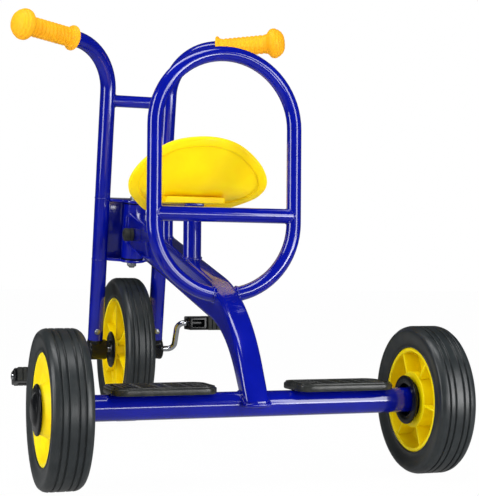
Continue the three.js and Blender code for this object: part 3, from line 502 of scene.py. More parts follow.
def powder_coat():
    """Gloss polyester powder coat on steel: deep ultramarine under a hard clear gloss, with the faint orange
    peel of melted powder. The peel's cells are 2 mm on the real tubes and drawn 12 mm wide so that they still
    show. The gloss is matched to the long bright lines that the photographed tubes mirror."""
    material, tree, shader, spots = material_of(
        "gloss_powder_coat_ultramarine", IOR=1.5, Specular_IOR_Level=0.3, Coat_Weight=1.0,
        Coat_IOR=1.5, Coat_Roughness=0.06)
    shade = noise(tree, spots, 60, 2.0).outputs["Fac"]
    colour = ramp(tree, shade, [(0.3, "#000A80"), (0.55, "#000D8A"), (0.8, "#021094")])
    tree.links.new(colour, shader.inputs["Base Color"])
    haze = noise(tree, spots, 25, 3.0).outputs["Fac"]
    tree.links.new(spread(tree, haze, 0.12, 0.2), shader.inputs["Roughness"])
    peel = bump(tree, noise(tree, spots, 12, 1.0).outputs["Fac"], 0.03, 0.25)
    tree.links.new(peel, shader.inputs["Normal"])
    tree.links.new(peel, shader.inputs["Coat Normal"])
    return material


def moulded_yellow(name, stops, grain, rough):
    """Injection-moulded polypropylene: warm yellow with a satin, spark-eroded grain."""
    material, tree, shader, spots = material_of(
        name, IOR=1.49, Roughness=rough, Specular_IOR_Level=0.2, Subsurface_Weight=0.16,
        Subsurface_Scale=0.006, Subsurface_Radius=(1.0, 0.6, 0.1))
    shade = noise(tree, spots, 45, 3.0).outputs["Fac"]
    tree.links.new(ramp(tree, shade, stops), shader.inputs["Base Color"])
    fine = noise(tree, spots, grain, 4.0).outputs["Fac"]
    tree.links.new(spread(tree, fine, rough - 0.07, rough + 0.09), shader.inputs["Roughness"])
    tree.links.new(bump(tree, fine, 0.05, 0.2), shader.inputs["Normal"])
    return material


def tyre_rubber():
    """Solid vulcanised rubber: dark grey, faintly green and brown where dust sits in the pores."""
    material, tree, shader, spots = material_of(
        "vulcanised_tyre_rubber", IOR=1.52, Roughness=0.36, Specular_IOR_Level=0.5)
    shade = noise(tree, spots, 28, 5.0, 0.65).outputs["Fac"]
    colour = ramp(tree, shade, [(0.28, "#1C2022"), (0.5, "#24292B"), (0.66, "#2C2F30"), (0.84, "#34332F")])
    tree.links.new(colour, shader.inputs["Base Color"])
    pores = noise(tree, spots, 1.6, 5.0, 0.7).outputs["Fac"]
    tree.links.new(spread(tree, pores, 0.26, 0.46), shader.inputs["Roughness"])
    tree.links.new(bump(tree, pores, 0.12, 0.35), shader.inputs["Normal"])
    return material


def moulded_black(name, stops, rough, grain=1.8):
    """Moulded black plastic or rubber with a fine matt grain."""
    material, tree, shader, spots = material_of(name, IOR=1.5, Roughness=rough, Specular_IOR_Level=0.3)
    shade = noise(tree, spots, 14, 4.0).outputs["Fac"]
    tree.links.new(ramp(tree, shade, stops), shader.inputs["Base Color"])
    fine = noise(tree, spots, grain, 4.0).outputs["Fac"]
    tree.links.new(spread(tree, fine, rough - 0.08, rough + 0.1), shader.inputs["Roughness"])
    tree.links.new(bump(tree, fine, 0.15, 0.4), shader.inputs["Normal"])
    return material


def plated_steel(name, stops, rough, streak):
    """Plated steel: chrome or zinc, with fine wiping marks in the roughness."""
    material, tree, shader, spots = material_of(name, Metallic=1.0, Roughness=rough)
    shade = noise(tree, spots, 18, 3.0).outputs["Fac"]
    tree.links.new(ramp(tree, shade, stops), shader.inputs["Base Color"])
    marks = noise(tree, spots, streak, 5.0, 0.7).outputs["Fac"]
    tree.links.new(spread(tree, marks, rough * 0.6, rough * 1.6), shader.inputs["Roughness"])
    tree.links.new(bump(tree, marks, 0.03, 0.3), shader.inputs["Normal"])
    return material


PAINT = powder_coat()
SADDLE = moulded_yellow("moulded_polypropylene_saddle",
                        [(0.25, "#FFD400"), (0.5, "#FFDA00"), (0.8, "#FFE202")], 2.2, 0.4)
RIM = moulded_yellow("moulded_polypropylene_rim",
                     [(0.25, "#ECD000"), (0.5, "#F6DC00"), (0.8, "#FAE608")], 2.2, 0.42)
GRIP = moulded_yellow("soft_pvc_grip", [(0.25, "#F0A00C"), (0.5, "#F6AC12"), (0.8, "#FAB61C")], 1.5, 0.5)
TYRE = tyre_rubber()
BLACK = moulded_black("moulded_black_nylon", [(0.3, "#08090B"), (0.7, "#121417")], 0.22)
TREAD = moulded_black("moulded_tread_rubber",
                      [(0.3, "#1E201F"), (0.55, "#2A2C2A"), (0.8, "#36362F")], 0.66, 1.4)
PLATE = moulded_black("moulded_footplate_rubber",
                      [(0.3, "#1E2020"), (0.55, "#2A2C2B"), (0.8, "#3A3B37")], 0.24, 1.4)
CHROME = plated_steel("bright_chrome_plate", [(0.3, "#C9CCD2"), (0.7, "#DDDFE3")], 0.12, 9)
ZINC = plated_steel("bright_zinc_plate", [(0.3, "#8E9298"), (0.7, "#B4B8BC")], 0.34, 3)


# Studio: floor, backdrop, lamps and camera

ROOM_LIGHT = 0.52
FAR_ROOM = 0.03
FAR_WALL = 0.35
# A direction's Y where the wall begins and where it is full
WALL_SPAN = (-0.93, -0.985)
SHEET_LIGHT = 0.3
# Metres from the middle between which the sheet fades
SHEET_SPAN = (0.7, 2.0)
# Camera rays see this share of the floor as even white, and in the rest the object's shadow
FLOOR_SEEN = 0.985


def seen_white(tree, light):
    """The strength of a glow that camera rays see as full white and all others as this light."""
    ray = add_node(tree, "ShaderNodeLightPath").outputs["Is Camera Ray"]
    return add_node(tree, "ShaderNodeMix", {"B": 1.0}, Factor=ray, A=light).outputs["Result"]


def white_room():
    """A room that camera rays see as white and that lights matt surfaces evenly. Mirror and glass rays see
    a pale wall behind the object and, all round, a dim room."""
    world = bpy.data.worlds.new("white_room")
    bpy.context.scene.world = world
    world.use_nodes = True
    tree = world.node_tree
    ray = add_node(tree, "ShaderNodeLightPath").outputs
    mirrored = add_node(tree, "ShaderNodeMath", {"operation": "MAXIMUM"}, ray["Is Glossy Ray"],
                        ray["Is Transmission Ray"]).outputs[0]
    way = add_node(tree, "ShaderNodeTexCoord").outputs["Generated"]
    ahead = add_node(tree, "ShaderNodeSeparateXYZ", None, way).outputs["Y"]
    wall = spread(tree, ahead, FAR_ROOM, FAR_WALL, *WALL_SPAN)
    room = add_node(tree, "ShaderNodeMix", {"A": ROOM_LIGHT}, Factor=mirrored, B=wall).outputs["Result"]
    back = tree.nodes["Background"].inputs
    tree.links.new(seen_white(tree, room), back["Strength"])
    back["Color"].default_value = (1, 1, 1, 1)


def studio_floor():
    """A white floor. Mirror rays see it as a pale sheet under the object that fades into the dim room."""
    deselect_all()
    bpy.ops.mesh.primitive_plane_add(size=60, location=(0, 0, -0.0003))
    floor = started("studio_floor")
    bpy.ops.object.mode_set(mode="OBJECT")
    material, tree, shader, spots = material_of(
        "white_studio_floor", Base_Color=linear("#F2F2F2"), Roughness=0.9)
    ray = add_node(tree, "ShaderNodeLightPath").outputs
    reach = add_node(tree, "ShaderNodeVectorMath", {"operation": "LENGTH"}, spots).outputs["Value"]
    sheet = spread(tree, reach, SHEET_LIGHT, FAR_ROOM, *SHEET_SPAN)
    glow = add_node(tree, "ShaderNodeEmission", {"Color": (1, 1, 1, 1)}, Strength=seen_white(tree, sheet))
    direct = add_node(tree, "ShaderNodeMath", {"operation": "MULTIPLY"}, ray["Is Camera Ray"])
    direct.inputs[1].default_value = FLOOR_SEEN
    part = add_node(tree, "ShaderNodeMath", {"operation": "ADD"}, ray["Is Glossy Ray"], direct.outputs[0])
    mix = add_node(tree, "ShaderNodeMixShader", None, part.outputs[0], shader.outputs["BSDF"],
                   glow.outputs["Emission"])
    tree.links.new(mix.outputs["Shader"], tree.nodes["Material Output"].inputs["Surface"])
    floor.data.materials.append(material)


LAMPS = [
    # name, place, aimed at, width, height, power: places and sizes in metres
    ("softbox_left", (2.3, 0.75, 0.9), (0, 0.2, 0.4), 0.75, 2.2, 34),
    ("softbox_right", (-1.15, 2.25, 0.62), (0, 0.2, 0.4), 0.75, 1.7, 27),
    ("softbox_top", (0.5, 0.6, 2.6), (0, 0.1, 0.3), 2.2, 0.7, 30),
    ("softbox_low", (-1.15, 2.6, 0.15), (-0.05, 0.4, 0.13), 2.8, 0.28, 22),
]


def lamps():
    for name, place, aim, width, height, power in LAMPS:
        light = bpy.data.lights.new(name, "AREA")
        light.shape = "RECTANGLE"
        light.size = width
        light.size_y = height
        light.energy = power
        lamp = bpy.data.objects.new(name, light)
        bpy.context.scene.collection.objects.link(lamp)
        lamp.location = place
        lamp.rotation_euler = (Vector(aim) - Vector(place)).to_track_quat("-Z", "Y").to_euler()


# The camera was fitted to the wheels, the axle tube and the hoop in the photograph.
CAMERA_LENS = 87.12
CAMERA_PLACE = Vector((0.6048, 2.0916, 0.2984))
CAMERA_YAW = math.radians(19.19)
CAMERA_PITCH = math.radians(1.5)
CAMERA_ROLL = math.radians(0.44)


def camera():
    data = bpy.data.cameras.new("photo_view")
    data.lens = CAMERA_LENS
    data.sensor_width = 36
    data.sensor_fit = "AUTO"
    data.clip_start = 0.05
    data.clip_end = 200
    eye = bpy.data.objects.new("photo_view", data)
    bpy.context.scene.collection.objects.link(eye)
    forward = Vector((-math.sin(CAMERA_YAW) * math.cos(CAMERA_PITCH),
                      -math.cos(CAMERA_YAW) * math.cos(CAMERA_PITCH), math.sin(CAMERA_PITCH)))
    right = forward.cross(Vector((0, 0, 1))).normalized()
    up = right.cross(forward)
    side = math.cos(CAMERA_ROLL) * right + math.sin(CAMERA_ROLL) * up
    top = side.cross(forward)
    turn = Matrix((side, top, -forward)).transposed()
    eye.matrix_world = Matrix.Translation(CAMERA_PLACE) @ turn.to_4x4()
    bpy.context.scene.camera = eye


white_room()
studio_floor()
lamps()
camera()
bpy.context.scene.view_settings.view_transform = "Standard"


# Frame

def main_tube_edges():
    """Top and underside of the main tube from the head to the foot: lists of points in Y and Z."""
    top_corner, under_corner = Vector((0, REAR_AXLE.y - 59, 275)), Vector((0, REAR_AXLE.y - 70, 216))
    top_head = HEAD_PLACE.z + HEAD_HALF - 15.2
    under_head = HEAD_PLACE.z - HEAD_HALF + 27.9

    def edge(corner, head_z, foot_degrees, bend, steps=14):
        ahead = Vector((0, corner.y - HEAD_PLACE.y, corner.z - head_z)).normalized()
        slant = math.radians(foot_degrees)
        down = Vector((0, math.cos(slant), -math.sin(slant)))
        turn = ahead.angle(down)
        start = corner - ahead * bend * math.tan(turn / 2)
        inward = (down - ahead * down.dot(ahead)).normalized()
        parts = [turn * k / steps for k in range(steps + 1)]
        arc = [start + ahead * bend * math.sin(a) + inward * bend * (1 - math.cos(a)) for a in parts]
        foot = corner + down * ((corner.z - REAR_AXLE.z) / -down.z)
        return [Vector((0, HEAD_PLACE.y, head_z)), *arc, foot]

    return edge(top_corner, top_head, 59.5, 280), edge(under_corner, under_head, 53.5, 200)


def main_tube():
    """Pressed box tube: a rectangle pulled station by station, then its long edges rounded."""
    top, under = main_tube_edges()
    half = TUBE_WIDTH / 2
    deselect_all()
    bpy.ops.mesh.primitive_plane_add(size=MM, location=(0, 0, 0))
    piece = started("main_tube_shell")
    bpy.ops.object.mode_set(mode="OBJECT")
    corners = [(-half, under[0]), (half, under[0]), (half, top[0]), (-half, top[0])]
    loop = piece.data.polygons[0].vertices[:]
    for index, (x, point) in zip(loop, corners):
        piece.data.vertices[index].co = Vector((x, point.y, point.z)) * MM
    bpy.ops.object.mode_set(mode="EDIT")
    bpy.ops.mesh.select_all(action="SELECT")
    for k in range(1, len(top)):
        step, under_step = top[k] - top[k - 1], under[k] - under[k - 1]
        bpy.ops.mesh.extrude_region_move(TRANSFORM_OT_translate={"value": step * MM})
        section = chosen()
        line = (top[k] + under[k - 1] + step) / 2
        choose([i for i in section if piece_point(i).z < line.z])
        bpy.ops.transform.translate(value=(under_step - step) * MM)
        choose(section)
    closed(piece)
    eased(piece, TUBE_EDGE, 5, 50)
    smooth(piece, 40)
    return dressed(piece, PAINT, "frame", "blue", "main_tube")


def steering_head():
    """The head tube, and the flanged bush in each of its ends."""
    rings = [(20, -56), (22.2, -56), (23, -55.2), (23, 55.2), (22.2, 56), (20, 56), (20, -56)]
    shaped(turned("steering_head_shell", rings, 72), LEAN, PAINT, "frame", "blue", "head_tube")
    rings = [(6.35, 42.6), (19.6, 42.6), (19.6, 56.3), (22.4, 56.3), (22.9, 56.8), (22.9, 57.8), (22.2, 58.3),
             (6.35, 58.3), (6.35, 42.6)]
    for which, turn in (("upper", 0), ("lower", math.pi)):
        shaped(turned("head_bush_%s_shell" % which, rings, 56), LEAN @ Matrix.Rotation(turn, 4, "X"),
               BLACK, "frame", "black", "head_bush_%s" % which)


def steering_stops():
    """Rubber buffers: a turned body with a rounded lip, a hollow end and a screw deep inside."""
    low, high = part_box("steering_stop_left")
    place = (low + high) / 2 / MM
    rings = [(9, 0), (12.2, 0), (13, 0.8), (13, 4.2), (12.1, 5.4), (12.1, 6.6), (13, 7.8), (13, 16.4),
             (12.2, 18.2), (10.6, 19), (6.4, 19), (5.2, 18), (4.6, 11), (1, 11)]
    stop = turned("steering_stop_left_shell", rings, 56)
    screw = turned("stop_screw_left", [(0.4, 12.6), (2.2, 12.6), (3.4, 11.6), (3.4, 10.9), (0.4, 10.9)], 24)
    for piece in (stop, screw):
        placed(piece, along((1, 0, 0), (TUBE_WIDTH / 2 + FIT_GAP, place.y, place.z)))
        smooth(piece)
    both_sides(stop, "steering_stop_%s", TREAD, "frame", "rubber")
    for piece in (screw, copy_of(screw, "stop_screw_right", MIRROR)):
        dressed(piece, ZINC, "frame", "zinc")


def rear_axle():
    """The axle tube, and the flanged bush in each of its ends."""
    low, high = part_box("rear_axle_tube")
    half = high.x / MM
    turned_on("rear_axle_tube_shell", pipe(AXLE_TUBE, AXLE_TUBE_BORE, -half, half), (1, 0, 0), REAR_AXLE,
              PAINT, "frame", "blue", "rear_axle_tube")
    rings = [(6.4, half - 13), (15.6, half - 13), (15.6, half + FIT_GAP), (18.4, half + FIT_GAP),
             (18.9, half + 0.8), (18.9, half + 1.8), (18.4, half + 2.3), (6.4, half + 2.3), (6.4, half - 13)]
    for side, sign in SIDES.items():
        turned_on("axle_bush_%s_shell" % side, rings, (sign, 0, 0), REAR_AXLE, BLACK, "frame", "black",
                  "axle_bush_%s" % side, sides=48)


def hoop():
    """Bent tube from one flank of the main tube, round and back to the other, with its crossbar."""
    clear = math.degrees(math.asin(HOOP_TUBE / HOOP_RADIUS)) / 2
    sine, cosine = math.sin(math.radians(clear)), math.cos(math.radians(clear))
    start = Vector((HOOP_RADIUS * sine, HOOP_Y, HOOP_LOW - HOOP_RADIUS * cosine))
    quarter = ("bend", HOOP_RADIUS, 90 - clear, (0, -1, 0))
    upright = ("run", HOOP_TOP - HOOP_LOW)
    moves = [quarter, upright, ("bend", HOOP_RADIUS, 180, (0, -1, 0)), upright, quarter]
    tube = bent_tube("passenger_hoop_shell", HOOP_TUBE, start, (cosine, 0, sine), moves, 40)
    dressed(smooth(tube), PAINT, "frame", "blue", "passenger_hoop")
    rings = [(HOOP_TUBE, -HOOP_RADIUS), (HOOP_TUBE, 0), (HOOP_TUBE, HOOP_RADIUS)]
    turned_on("hoop_crossbar_shell", rings, (1, 0, 0), (0, HOOP_Y, HOOP_BAR_Z), PAINT, "frame", "blue",
              "hoop_crossbar", sides=40)
    reach = TUBE_WIDTH / 2
    fall = math.sqrt(HOOP_RADIUS ** 2 - reach ** 2)
    slope = reach / fall
    for side, sign in SIDES.items():
        ring = ring_points((0, HOOP_Y, HOOP_BAR_Z), (sign, 0, 0), HOOP_TUBE - 0.2)
        loop = onto_tube(ring, (sign, 0, 0), (sign * HOOP_RADIUS, HOOP_Y, 0), (0, 0, 1), HOOP_TUBE + 0.15)
        weld_bead("crossbar_weld_%s" % side, loop, 1.5, "frame")
        ring = ring_points((sign * reach, HOOP_Y, HOOP_LOW - fall), (sign, 0, slope), HOOP_TUBE)
        loop = onto_plane(ring, (sign, 0, slope), (sign * (reach + 0.2), 0, 0), (1, 0, 0))
        weld_bead("hoop_foot_weld_%s" % side, loop, 2.0, "frame")


def saddle_carrier():
    """Post, strut, rail and the bolts that hold the saddle."""
    top = main_tube_edges()[0]
    slope = (top[0].z - top[1].z) / (top[1].y - top[0].y)
    normal = Vector((0, slope, 1)).normalized()
    for node, radius in (("seat_post", 15.6), ("seat_front_strut", 11.5)):
        low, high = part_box(node)
        y = (low.y + high.y) / 2 / MM
        foot = top[0].z - (y - top[0].y) * slope
        head = high.z / MM
        rings = [(radius, foot - 8), (radius, foot + 20), (radius, head - 0.4)]
        turned_on(node + "_shell", rings, (0, 0, 1), (0, y, 0), PAINT, "frame", "blue", node, sides=48)
        loop = onto_plane(ring_points((0, y, foot), (0, 0, 1), radius), (0, 0, 1), (0, y, foot), normal)
        weld_bead(node + "_foot_weld", loop, 2.0, "frame")
        loop = onto_plane(ring_points((0, y, head), (0, 0, 1), radius), (0, 0, 1), (0, y, head - 0.6),
                          (0, -math.sin(SADDLE_TILT), math.cos(SADDLE_TILT)))
        weld_bead(node + "_top_weld", loop, 1.4, "frame")
    rail = plate("seat_rail_shell", rounded_outline(17, 97, 6), -5, 0)
    eased(rail, 0.7, 2)
    shaped(rail, ON_RAIL @ Matrix.Translation((0, -97 * MM, 0)), PAINT, "frame", "blue", "seat_rail")
    for which in ("rear", "front"):
        low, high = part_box("seat_bolt_%s" % which)
        base = Vector((0, ((low + high) / 2 / MM).y, low.z / MM))
        under_rail = Matrix.Translation(base * MM) @ Matrix.Rotation(-SADDLE_TILT, 4, "X")
        bolt = turned("seat_bolt_%s_shell" % which, [(1, 0), (5.2, 0), (6, 0.8), (6, 4), (1, 4)], 6)
        washer = turned("seat_washer_%s" % which, [(1, 4), (8, 4), (8, 5), (1, 5)], 32)
        shaped(bolt, under_rail, ZINC, "frame", "zinc", "seat_bolt_%s" % which)
        shaped(washer, under_rail, ZINC, "frame", "zinc")


def main_tube_welds():
    """Seams at both ends of the main tube, where it is coped to the head and to the axle tube."""
    top, under = main_tube_edges()

    def section(a, b):
        """A rounded rectangle between a top and an underside point."""
        up = (a - b).normalized()
        middle, half = (a + b) / 2, (a - b).length / 2
        return [middle + Vector((x, 0, 0)) + up * z
                for x, z in rounded_outline(TUBE_WIDTH / 2, half, TUBE_EDGE, 7)]

    ahead = (top[0] - top[1] + under[0] - under[1]).normalized()
    lean = Vector((0, math.sin(RAKE), math.cos(RAKE)))
    start = section(top[1], under[1])
    loop = onto_tube(start, ahead, HEAD_PLACE, lean, HEAD_RADIUS + 0.2)
    weld_bead("head_weld", loop, 2.2, "frame")
    # The foot's rear part passes the axle tube. There the seam follows the foot's own edge.
    loop = []
    for point, end in zip(section(top[-2], under[-2]), section(top[-1], under[-1])):
        spot = onto_tube([point], end - point, REAR_AXLE, (1, 0, 0), AXLE_TUBE - 1)[0]
        off = math.hypot(spot.y - REAR_AXLE.y, spot.z - REAR_AXLE.z)
        meets = off < AXLE_TUBE - 0.5 and spot.z > end.z
        loop.append(spot if meets else end + Vector((0, 0, 1.5)))
    weld_bead("axle_weld", loop, 3, "frame")


# Fork and handlebar

def grip_direction():
    return Vector((math.cos(GRIP_SWEEP) * math.cos(GRIP_RISE), math.sin(GRIP_SWEEP) * math.cos(GRIP_RISE),
                   math.sin(GRIP_RISE)))


def fork_legs():
    """Each leg is one bent tube from its bearing block up to the grip; grown about the steering axis."""
    bottom = -AXLE_DROP + 21.8
    upright, heading = Vector((0, 0, 1)), grip_direction()
    turn = upright.angle(heading)
    taken = LEG_BEND * math.tan(turn / 2)
    moves = [("run", LEG_TOP - taken - bottom),
             ("bend", LEG_BEND, math.degrees(turn), upright.cross(heading)),
             ("run", GRIP_START + GRIP_LENGTH - 22 - 6 - taken)]
    foot = (LEG_SPACING, -FORK_OFFSET, bottom)
    leg = bent_tube("fork_leg_left_shell", LEG_RADIUS, foot, upright, moves, 48)
    both_sides(smooth(placed(leg, LEAN)), "fork_leg_%s", PAINT, "fork", "blue")
    bar_middle = (0, -FORK_OFFSET, CROSSBAR_PLACE)
    for side, sign in SIDES.items():
        ring = ring_points(bar_middle, (sign, 0, 0), CROSSBAR_RADIUS)
        leg_middle = (sign * LEG_SPACING, -FORK_OFFSET, 0)
        loop = onto_tube(ring, (sign, 0, 0), leg_middle, upright, LEG_RADIUS + 0.2)
        weld_bead("fork_crossbar_weld_%s" % side, leaning(loop), 1.5, "fork")
    bar = turned("fork_crossbar_shell", [(CROSSBAR_RADIUS, x) for x in (-LEG_SPACING, 0, LEG_SPACING)], 40)
    shaped(bar, LEAN @ along((1, 0, 0), bar_middle), PAINT, "fork", "blue", "fork_crossbar")


def grips():
    """Soft grip: a stepped collar, a body with moulded ridges, and a knob of concentric steps."""
    rings = [(15.4, 0), (23.4, 0), (24.8, 1.2), (25, 3.2), (24.4, 5.2), (22.2, 6.6), (20.2, 8.0),
             (19.2, 10.5)]
    place, end = 12.5, 100.0
    count = 10
    pitch = (end - place) / count
    for k in range(count):
        low = place + k * pitch
        rings += [(18.9, low + 0.16 * pitch), (17.9, low + 0.3 * pitch), (17.8, low + 0.5 * pitch),
                  (18.8, low + 0.66 * pitch), (19.3, low + 0.85 * pitch)]
    rings += [(19.3, 102), (20.6, 104.6), (25.2, 107.8), (28.6, 111), (29.8, 114.4), (30, 118), (29.7, 121.4),
              (28.4, 123.6), (27.2, 124.0), (26.9, 126.6), (25.6, 129.2), (23.4, 130.0), (22.9, 132.2),
              (20.4, 134.6), (17.4, 135.2), (16.6, 136.9), (11, 138.4), (4, 139), (0.5, 139)]
    grip = turned("grip_left_shell", rings, 72)
    finish_with(grip, "SUBSURF", levels=1, render_levels=1)
    start = Vector((LEG_SPACING, -FORK_OFFSET, LEG_TOP)) + grip_direction() * GRIP_START
    placed(grip, LEAN @ along(grip_direction(), start))
    both_sides(smooth(grip, 60), "grip_%s", GRIP, "fork", "grip")


def leg_rivets():
    """Domed rivet heads on the front and rear faces of each leg."""
    height = -AXLE_DROP + 41
    half = [(3, 15.4), (6.1, 15.7), (5.8, 16.9), (4.6, 17.9), (2.6, 18.7), (0.4, 18.9)]
    rings = [(r, -z) for r, z in reversed(half)] + half
    rivet = turned("leg_rivet_left_shell", rings, 32)
    placed(rivet, LEAN @ along((0, 1, 0), (LEG_SPACING, -FORK_OFFSET, height)))
    both_sides(smooth(rivet, 40), "leg_rivet_%s", ZINC, "fork", "zinc")


def bearing_blocks():
    """Moulded blocks under the legs: a barrel with raised end rims round the crank, and a collar up to the
    leg."""
    rings = [(6.4, 41), (19.4, 41), (20.6, 42), (20.9, 43.5), (20.9, 72), (21.4, 73), (21.5, 74.6),
             (21.5, 76.6), (21, 78), (19.6, 79), (6.4, 79), (6.4, 41)]
    barrel = turned("block_barrel", rings, 56)
    placed(barrel, along((1, 0, 0), (0, -FORK_OFFSET, -AXLE_DROP)))
    neck = turned("block_neck", [(13.3, 10), (15.6, 10), (16.2, 17), (16.3, 20.9), (15.8, 21.5), (13.3, 21.7),
                                 (13.3, 50), (12.3, 52), (1, 52)], 40)
    placed(neck, along((0, 0, 1), (LEG_SPACING, -FORK_OFFSET, -AXLE_DROP)))
    piece = placed(joined("bearing_block_left_shell", barrel, neck), LEAN)
    both_sides(smooth(piece, 36), "bearing_block_%s", BLACK, "fork", "black")


def steering_yoke():
    """Folded steel yoke: two plates, joined by a web ahead of the head, and a weld where each leg passes."""
    front, rear, wide = -31, 27, 55
    flank = [(wide, front + 9), (wide - 1, -FORK_OFFSET + 9), (48, -FORK_OFFSET + 17)]
    back = [(26 * math.cos(a), rear - 24 + 24 * math.sin(a)) for a in map(math.radians, range(8, 173, 12))]
    outline = [(-48.5, front), (48.5, front), *flank, *back, *((-x, y) for x, y in reversed(flank))]
    pieces = []
    for which, low in (("upper", YOKE_INNER_HALF), ("lower", -YOKE_HALF)):
        pieces.append(eased(plate("yoke_plate_%s" % which, outline, low, low + YOKE_PLATE), 0.9, 3))
    web = block("yoke_web", (-48.5, front, -YOKE_INNER_HALF - 1),
                (48.5, front + YOKE_PLATE, YOKE_INNER_HALF + 1))
    yoke = joined("steering_yoke_shell", *pieces, eased(web, 0.8, 3))
    shaped(yoke, LEAN, PAINT, "fork", "blue", "steering_yoke")
    for side, sign in SIDES.items():
        for which, z in (("upper", YOKE_HALF), ("lower", -YOKE_HALF)):
            loop = ring_points((sign * LEG_SPACING, -FORK_OFFSET, z), (0, 0, 1), LEG_RADIUS - 0.1)
            weld_bead("yoke_weld_%s_%s" % (which, side), leaning(loop), 0.9, "fork")


def kingpin():
    """Through bolt with a chamfered hex head and washer, and its locknut below."""
    top = YOKE_HALF + FIT_GAP
    shank = turned("kingpin_shank", [(1, -top - 12.6), (5.4, -top - 12.6), (6, -top - 11.8), (6, top),
                                     (1, top)], 32)
    head = turned("kingpin_head", [(1, top + 1.4), (9.8, top + 1.4), (10.8, top + 2.0), (10.8, top + 5.2),
                                   (9.2, top + 6), (1, top + 6)], 6)
    washer = turned("kingpin_washer", [(6, top), (12, top), (12, top + 1.3), (6, top + 1.3), (6, top)], 40)
    bolt = joined("kingpin_shell", shank, eased(head, 0.4, 2), washer)
    shaped(bolt, LEAN, ZINC, "fork", "zinc", "kingpin")
    nut = turned("kingpin_nut_shell", [(6.1, -top - 10), (8.2, -top - 10), (9.9, -top - 9), (9.9, -top - 1.2),
                                       (6.1, -top - 1.2), (6.1, -top - 10)], 6)
    eased(nut, 0.4, 2)
    collar = turned("kingpin_nut_collar", [(6.1, -top - 1.2), (9.9, -top - 1.2), (9.9, -top), (6.1, -top),
                                           (6.1, -top - 1.2)], 40)
    shaped(joined("kingpin_nut_shell", nut, collar), LEAN, ZINC, "fork", "zinc", "kingpin_nut")


# Wheels

def tyre_rings(radius, rim):
    """Section of a solid tyre: a bead, a flank that swells to a rounded shoulder, and four round grooves."""
    depth = radius - rim - FIT_GAP
    base = rim + FIT_GAP
    flank = [(0, 0.83), (0.02, 0.865), (0.05, 0.88), (0.08, 0.87), (0.1, 0.845), (0.15, 0.84),
             (0.25, 0.855), (0.4, 0.9), (0.55, 0.955), (0.7, 0.995), (0.78, 1.0), (0.84, 0.985),
             (0.88, 0.95), (0.905, 0.905), (0.93, 0.87), (0.955, 0.83), (0.975, 0.77), (0.99, 0.7),
             (1, 0.63)]
    half = TYRE_WIDTH / 2
    rings = [(base + up * depth, -out * half) for up, out in flank]
    for share in TREAD_GROOVES:
        middle = share * half
        rings += [(radius, middle - 2.1), (radius - 0.4, middle - 1.5), (radius - 2.0, middle - 0.9),
                  (radius - 2.4, middle), (radius - 2.0, middle + 0.9), (radius - 0.4, middle + 1.5),
                  (radius, middle + 2.1)]
    rings += [(base + up * depth, out * half) for up, out in reversed(flank)]
    return rings + [rings[0]]


def rib_wall(name, inner, outer, low, high, degrees):
    """One stiffening rib between hub and ring, turned about the wheel's axis."""
    piece = block(name, (low, -RIB_THICKNESS / 2, inner), (high, RIB_THICKNESS / 2, outer))
    return placed(eased(piece, 0.5, 2), Matrix.Rotation(math.radians(degrees), 4, "X"))


def front_wheel():
    """The tyre, a rim with a flat disc and six ribs on each side of it, and a hub flange on either side."""
    turned_on("front_tyre_shell", tyre_rings(FRONT_RADIUS, FRONT_RIM_RADIUS), (1, 0, 0), FRONT_AXLE, TYRE,
              "front_wheel", "tyre", "front_tyre", sides=128, angle=30)
    rings = [(6.5, -28), (18.6, -28), (20, -27), (20.6, -8), (23, -4.4), (27, -3), (92, -3), (98, -5),
             (101, -9), (102.2, -23.6), (103, -24.4), (107.2, -24.4), (108, -23.6), (108, 0), (108, 23.6),
             (107.2, 24.4), (103, 24.4), (102.2, 23.6), (101, 9), (98, 5), (92, 3), (27, 3), (23, 4.4),
             (20.6, 8), (20, 27), (18.6, 28), (6.5, 28), (6.5, -28)]
    rim = turned("front_rim_disc", rings, 96)
    pieces = [rim]
    for k in range(RIM_RIBS):
        for sign in (1, -1):
            low, high = sorted((sign * 2.5, sign * 18.4))
            pieces.append(rib_wall("front_rib_%d_%d" % (k, sign), 19, 103, low, high, 360 / RIM_RIBS * k))
    placed(rim, along((1, 0, 0)))
    shaped(joined("front_rim_shell", *pieces), Matrix.Translation(FRONT_AXLE * MM), RIM, "front_wheel",
           "yellow", "front_rim")
    rings = [(6.5, 28.3), (36.6, 28.3), (37.5, 29.0), (37.5, 30.3), (36.4, 31.6), (34.6, 32.2), (22, 30.6),
             (19.4, 31.4), (18.4, 33.4), (17.4, 34.3), (6.5, 34.3), (6.5, 28.3)]
    for side, sign in SIDES.items():
        turned_on("front_hub_%s_shell" % side, rings, (sign, 0, 0), FRONT_AXLE, BLACK, "front_wheel", "black",
                  "front_hub_%s" % side)


CRANK_UP = Vector((0, math.sin(CRANK_LEAN), math.cos(CRANK_LEAN))) * CRANK_THROW


def crank():
    """One bent rod: pedal spindle, arm, wheel axle, arm and pedal spindle."""
    end, arm, bend = 232.35, 107, 14
    up, inwards = CRANK_UP.normalized(), Vector((-1, 0, 0))
    rise, level = ("bend", bend, 90, inwards.cross(up)), ("bend", bend, 90, up.cross(inwards))
    spindle, throw = ("run", end - arm - bend), ("run", CRANK_THROW - 2 * bend)
    moves = [spindle, rise, throw, level, ("run", 2 * (arm - bend)), rise, throw, level, spindle]
    rod = bent_tube("crank_shell", CRANK_ROD, FRONT_AXLE - CRANK_UP + Vector((end, 0, 0)), inwards, moves, 32)
    eased(rod, 0.8, 2, 60)
    dressed(smooth(rod), CHROME, "front_wheel", "chrome", "crank")


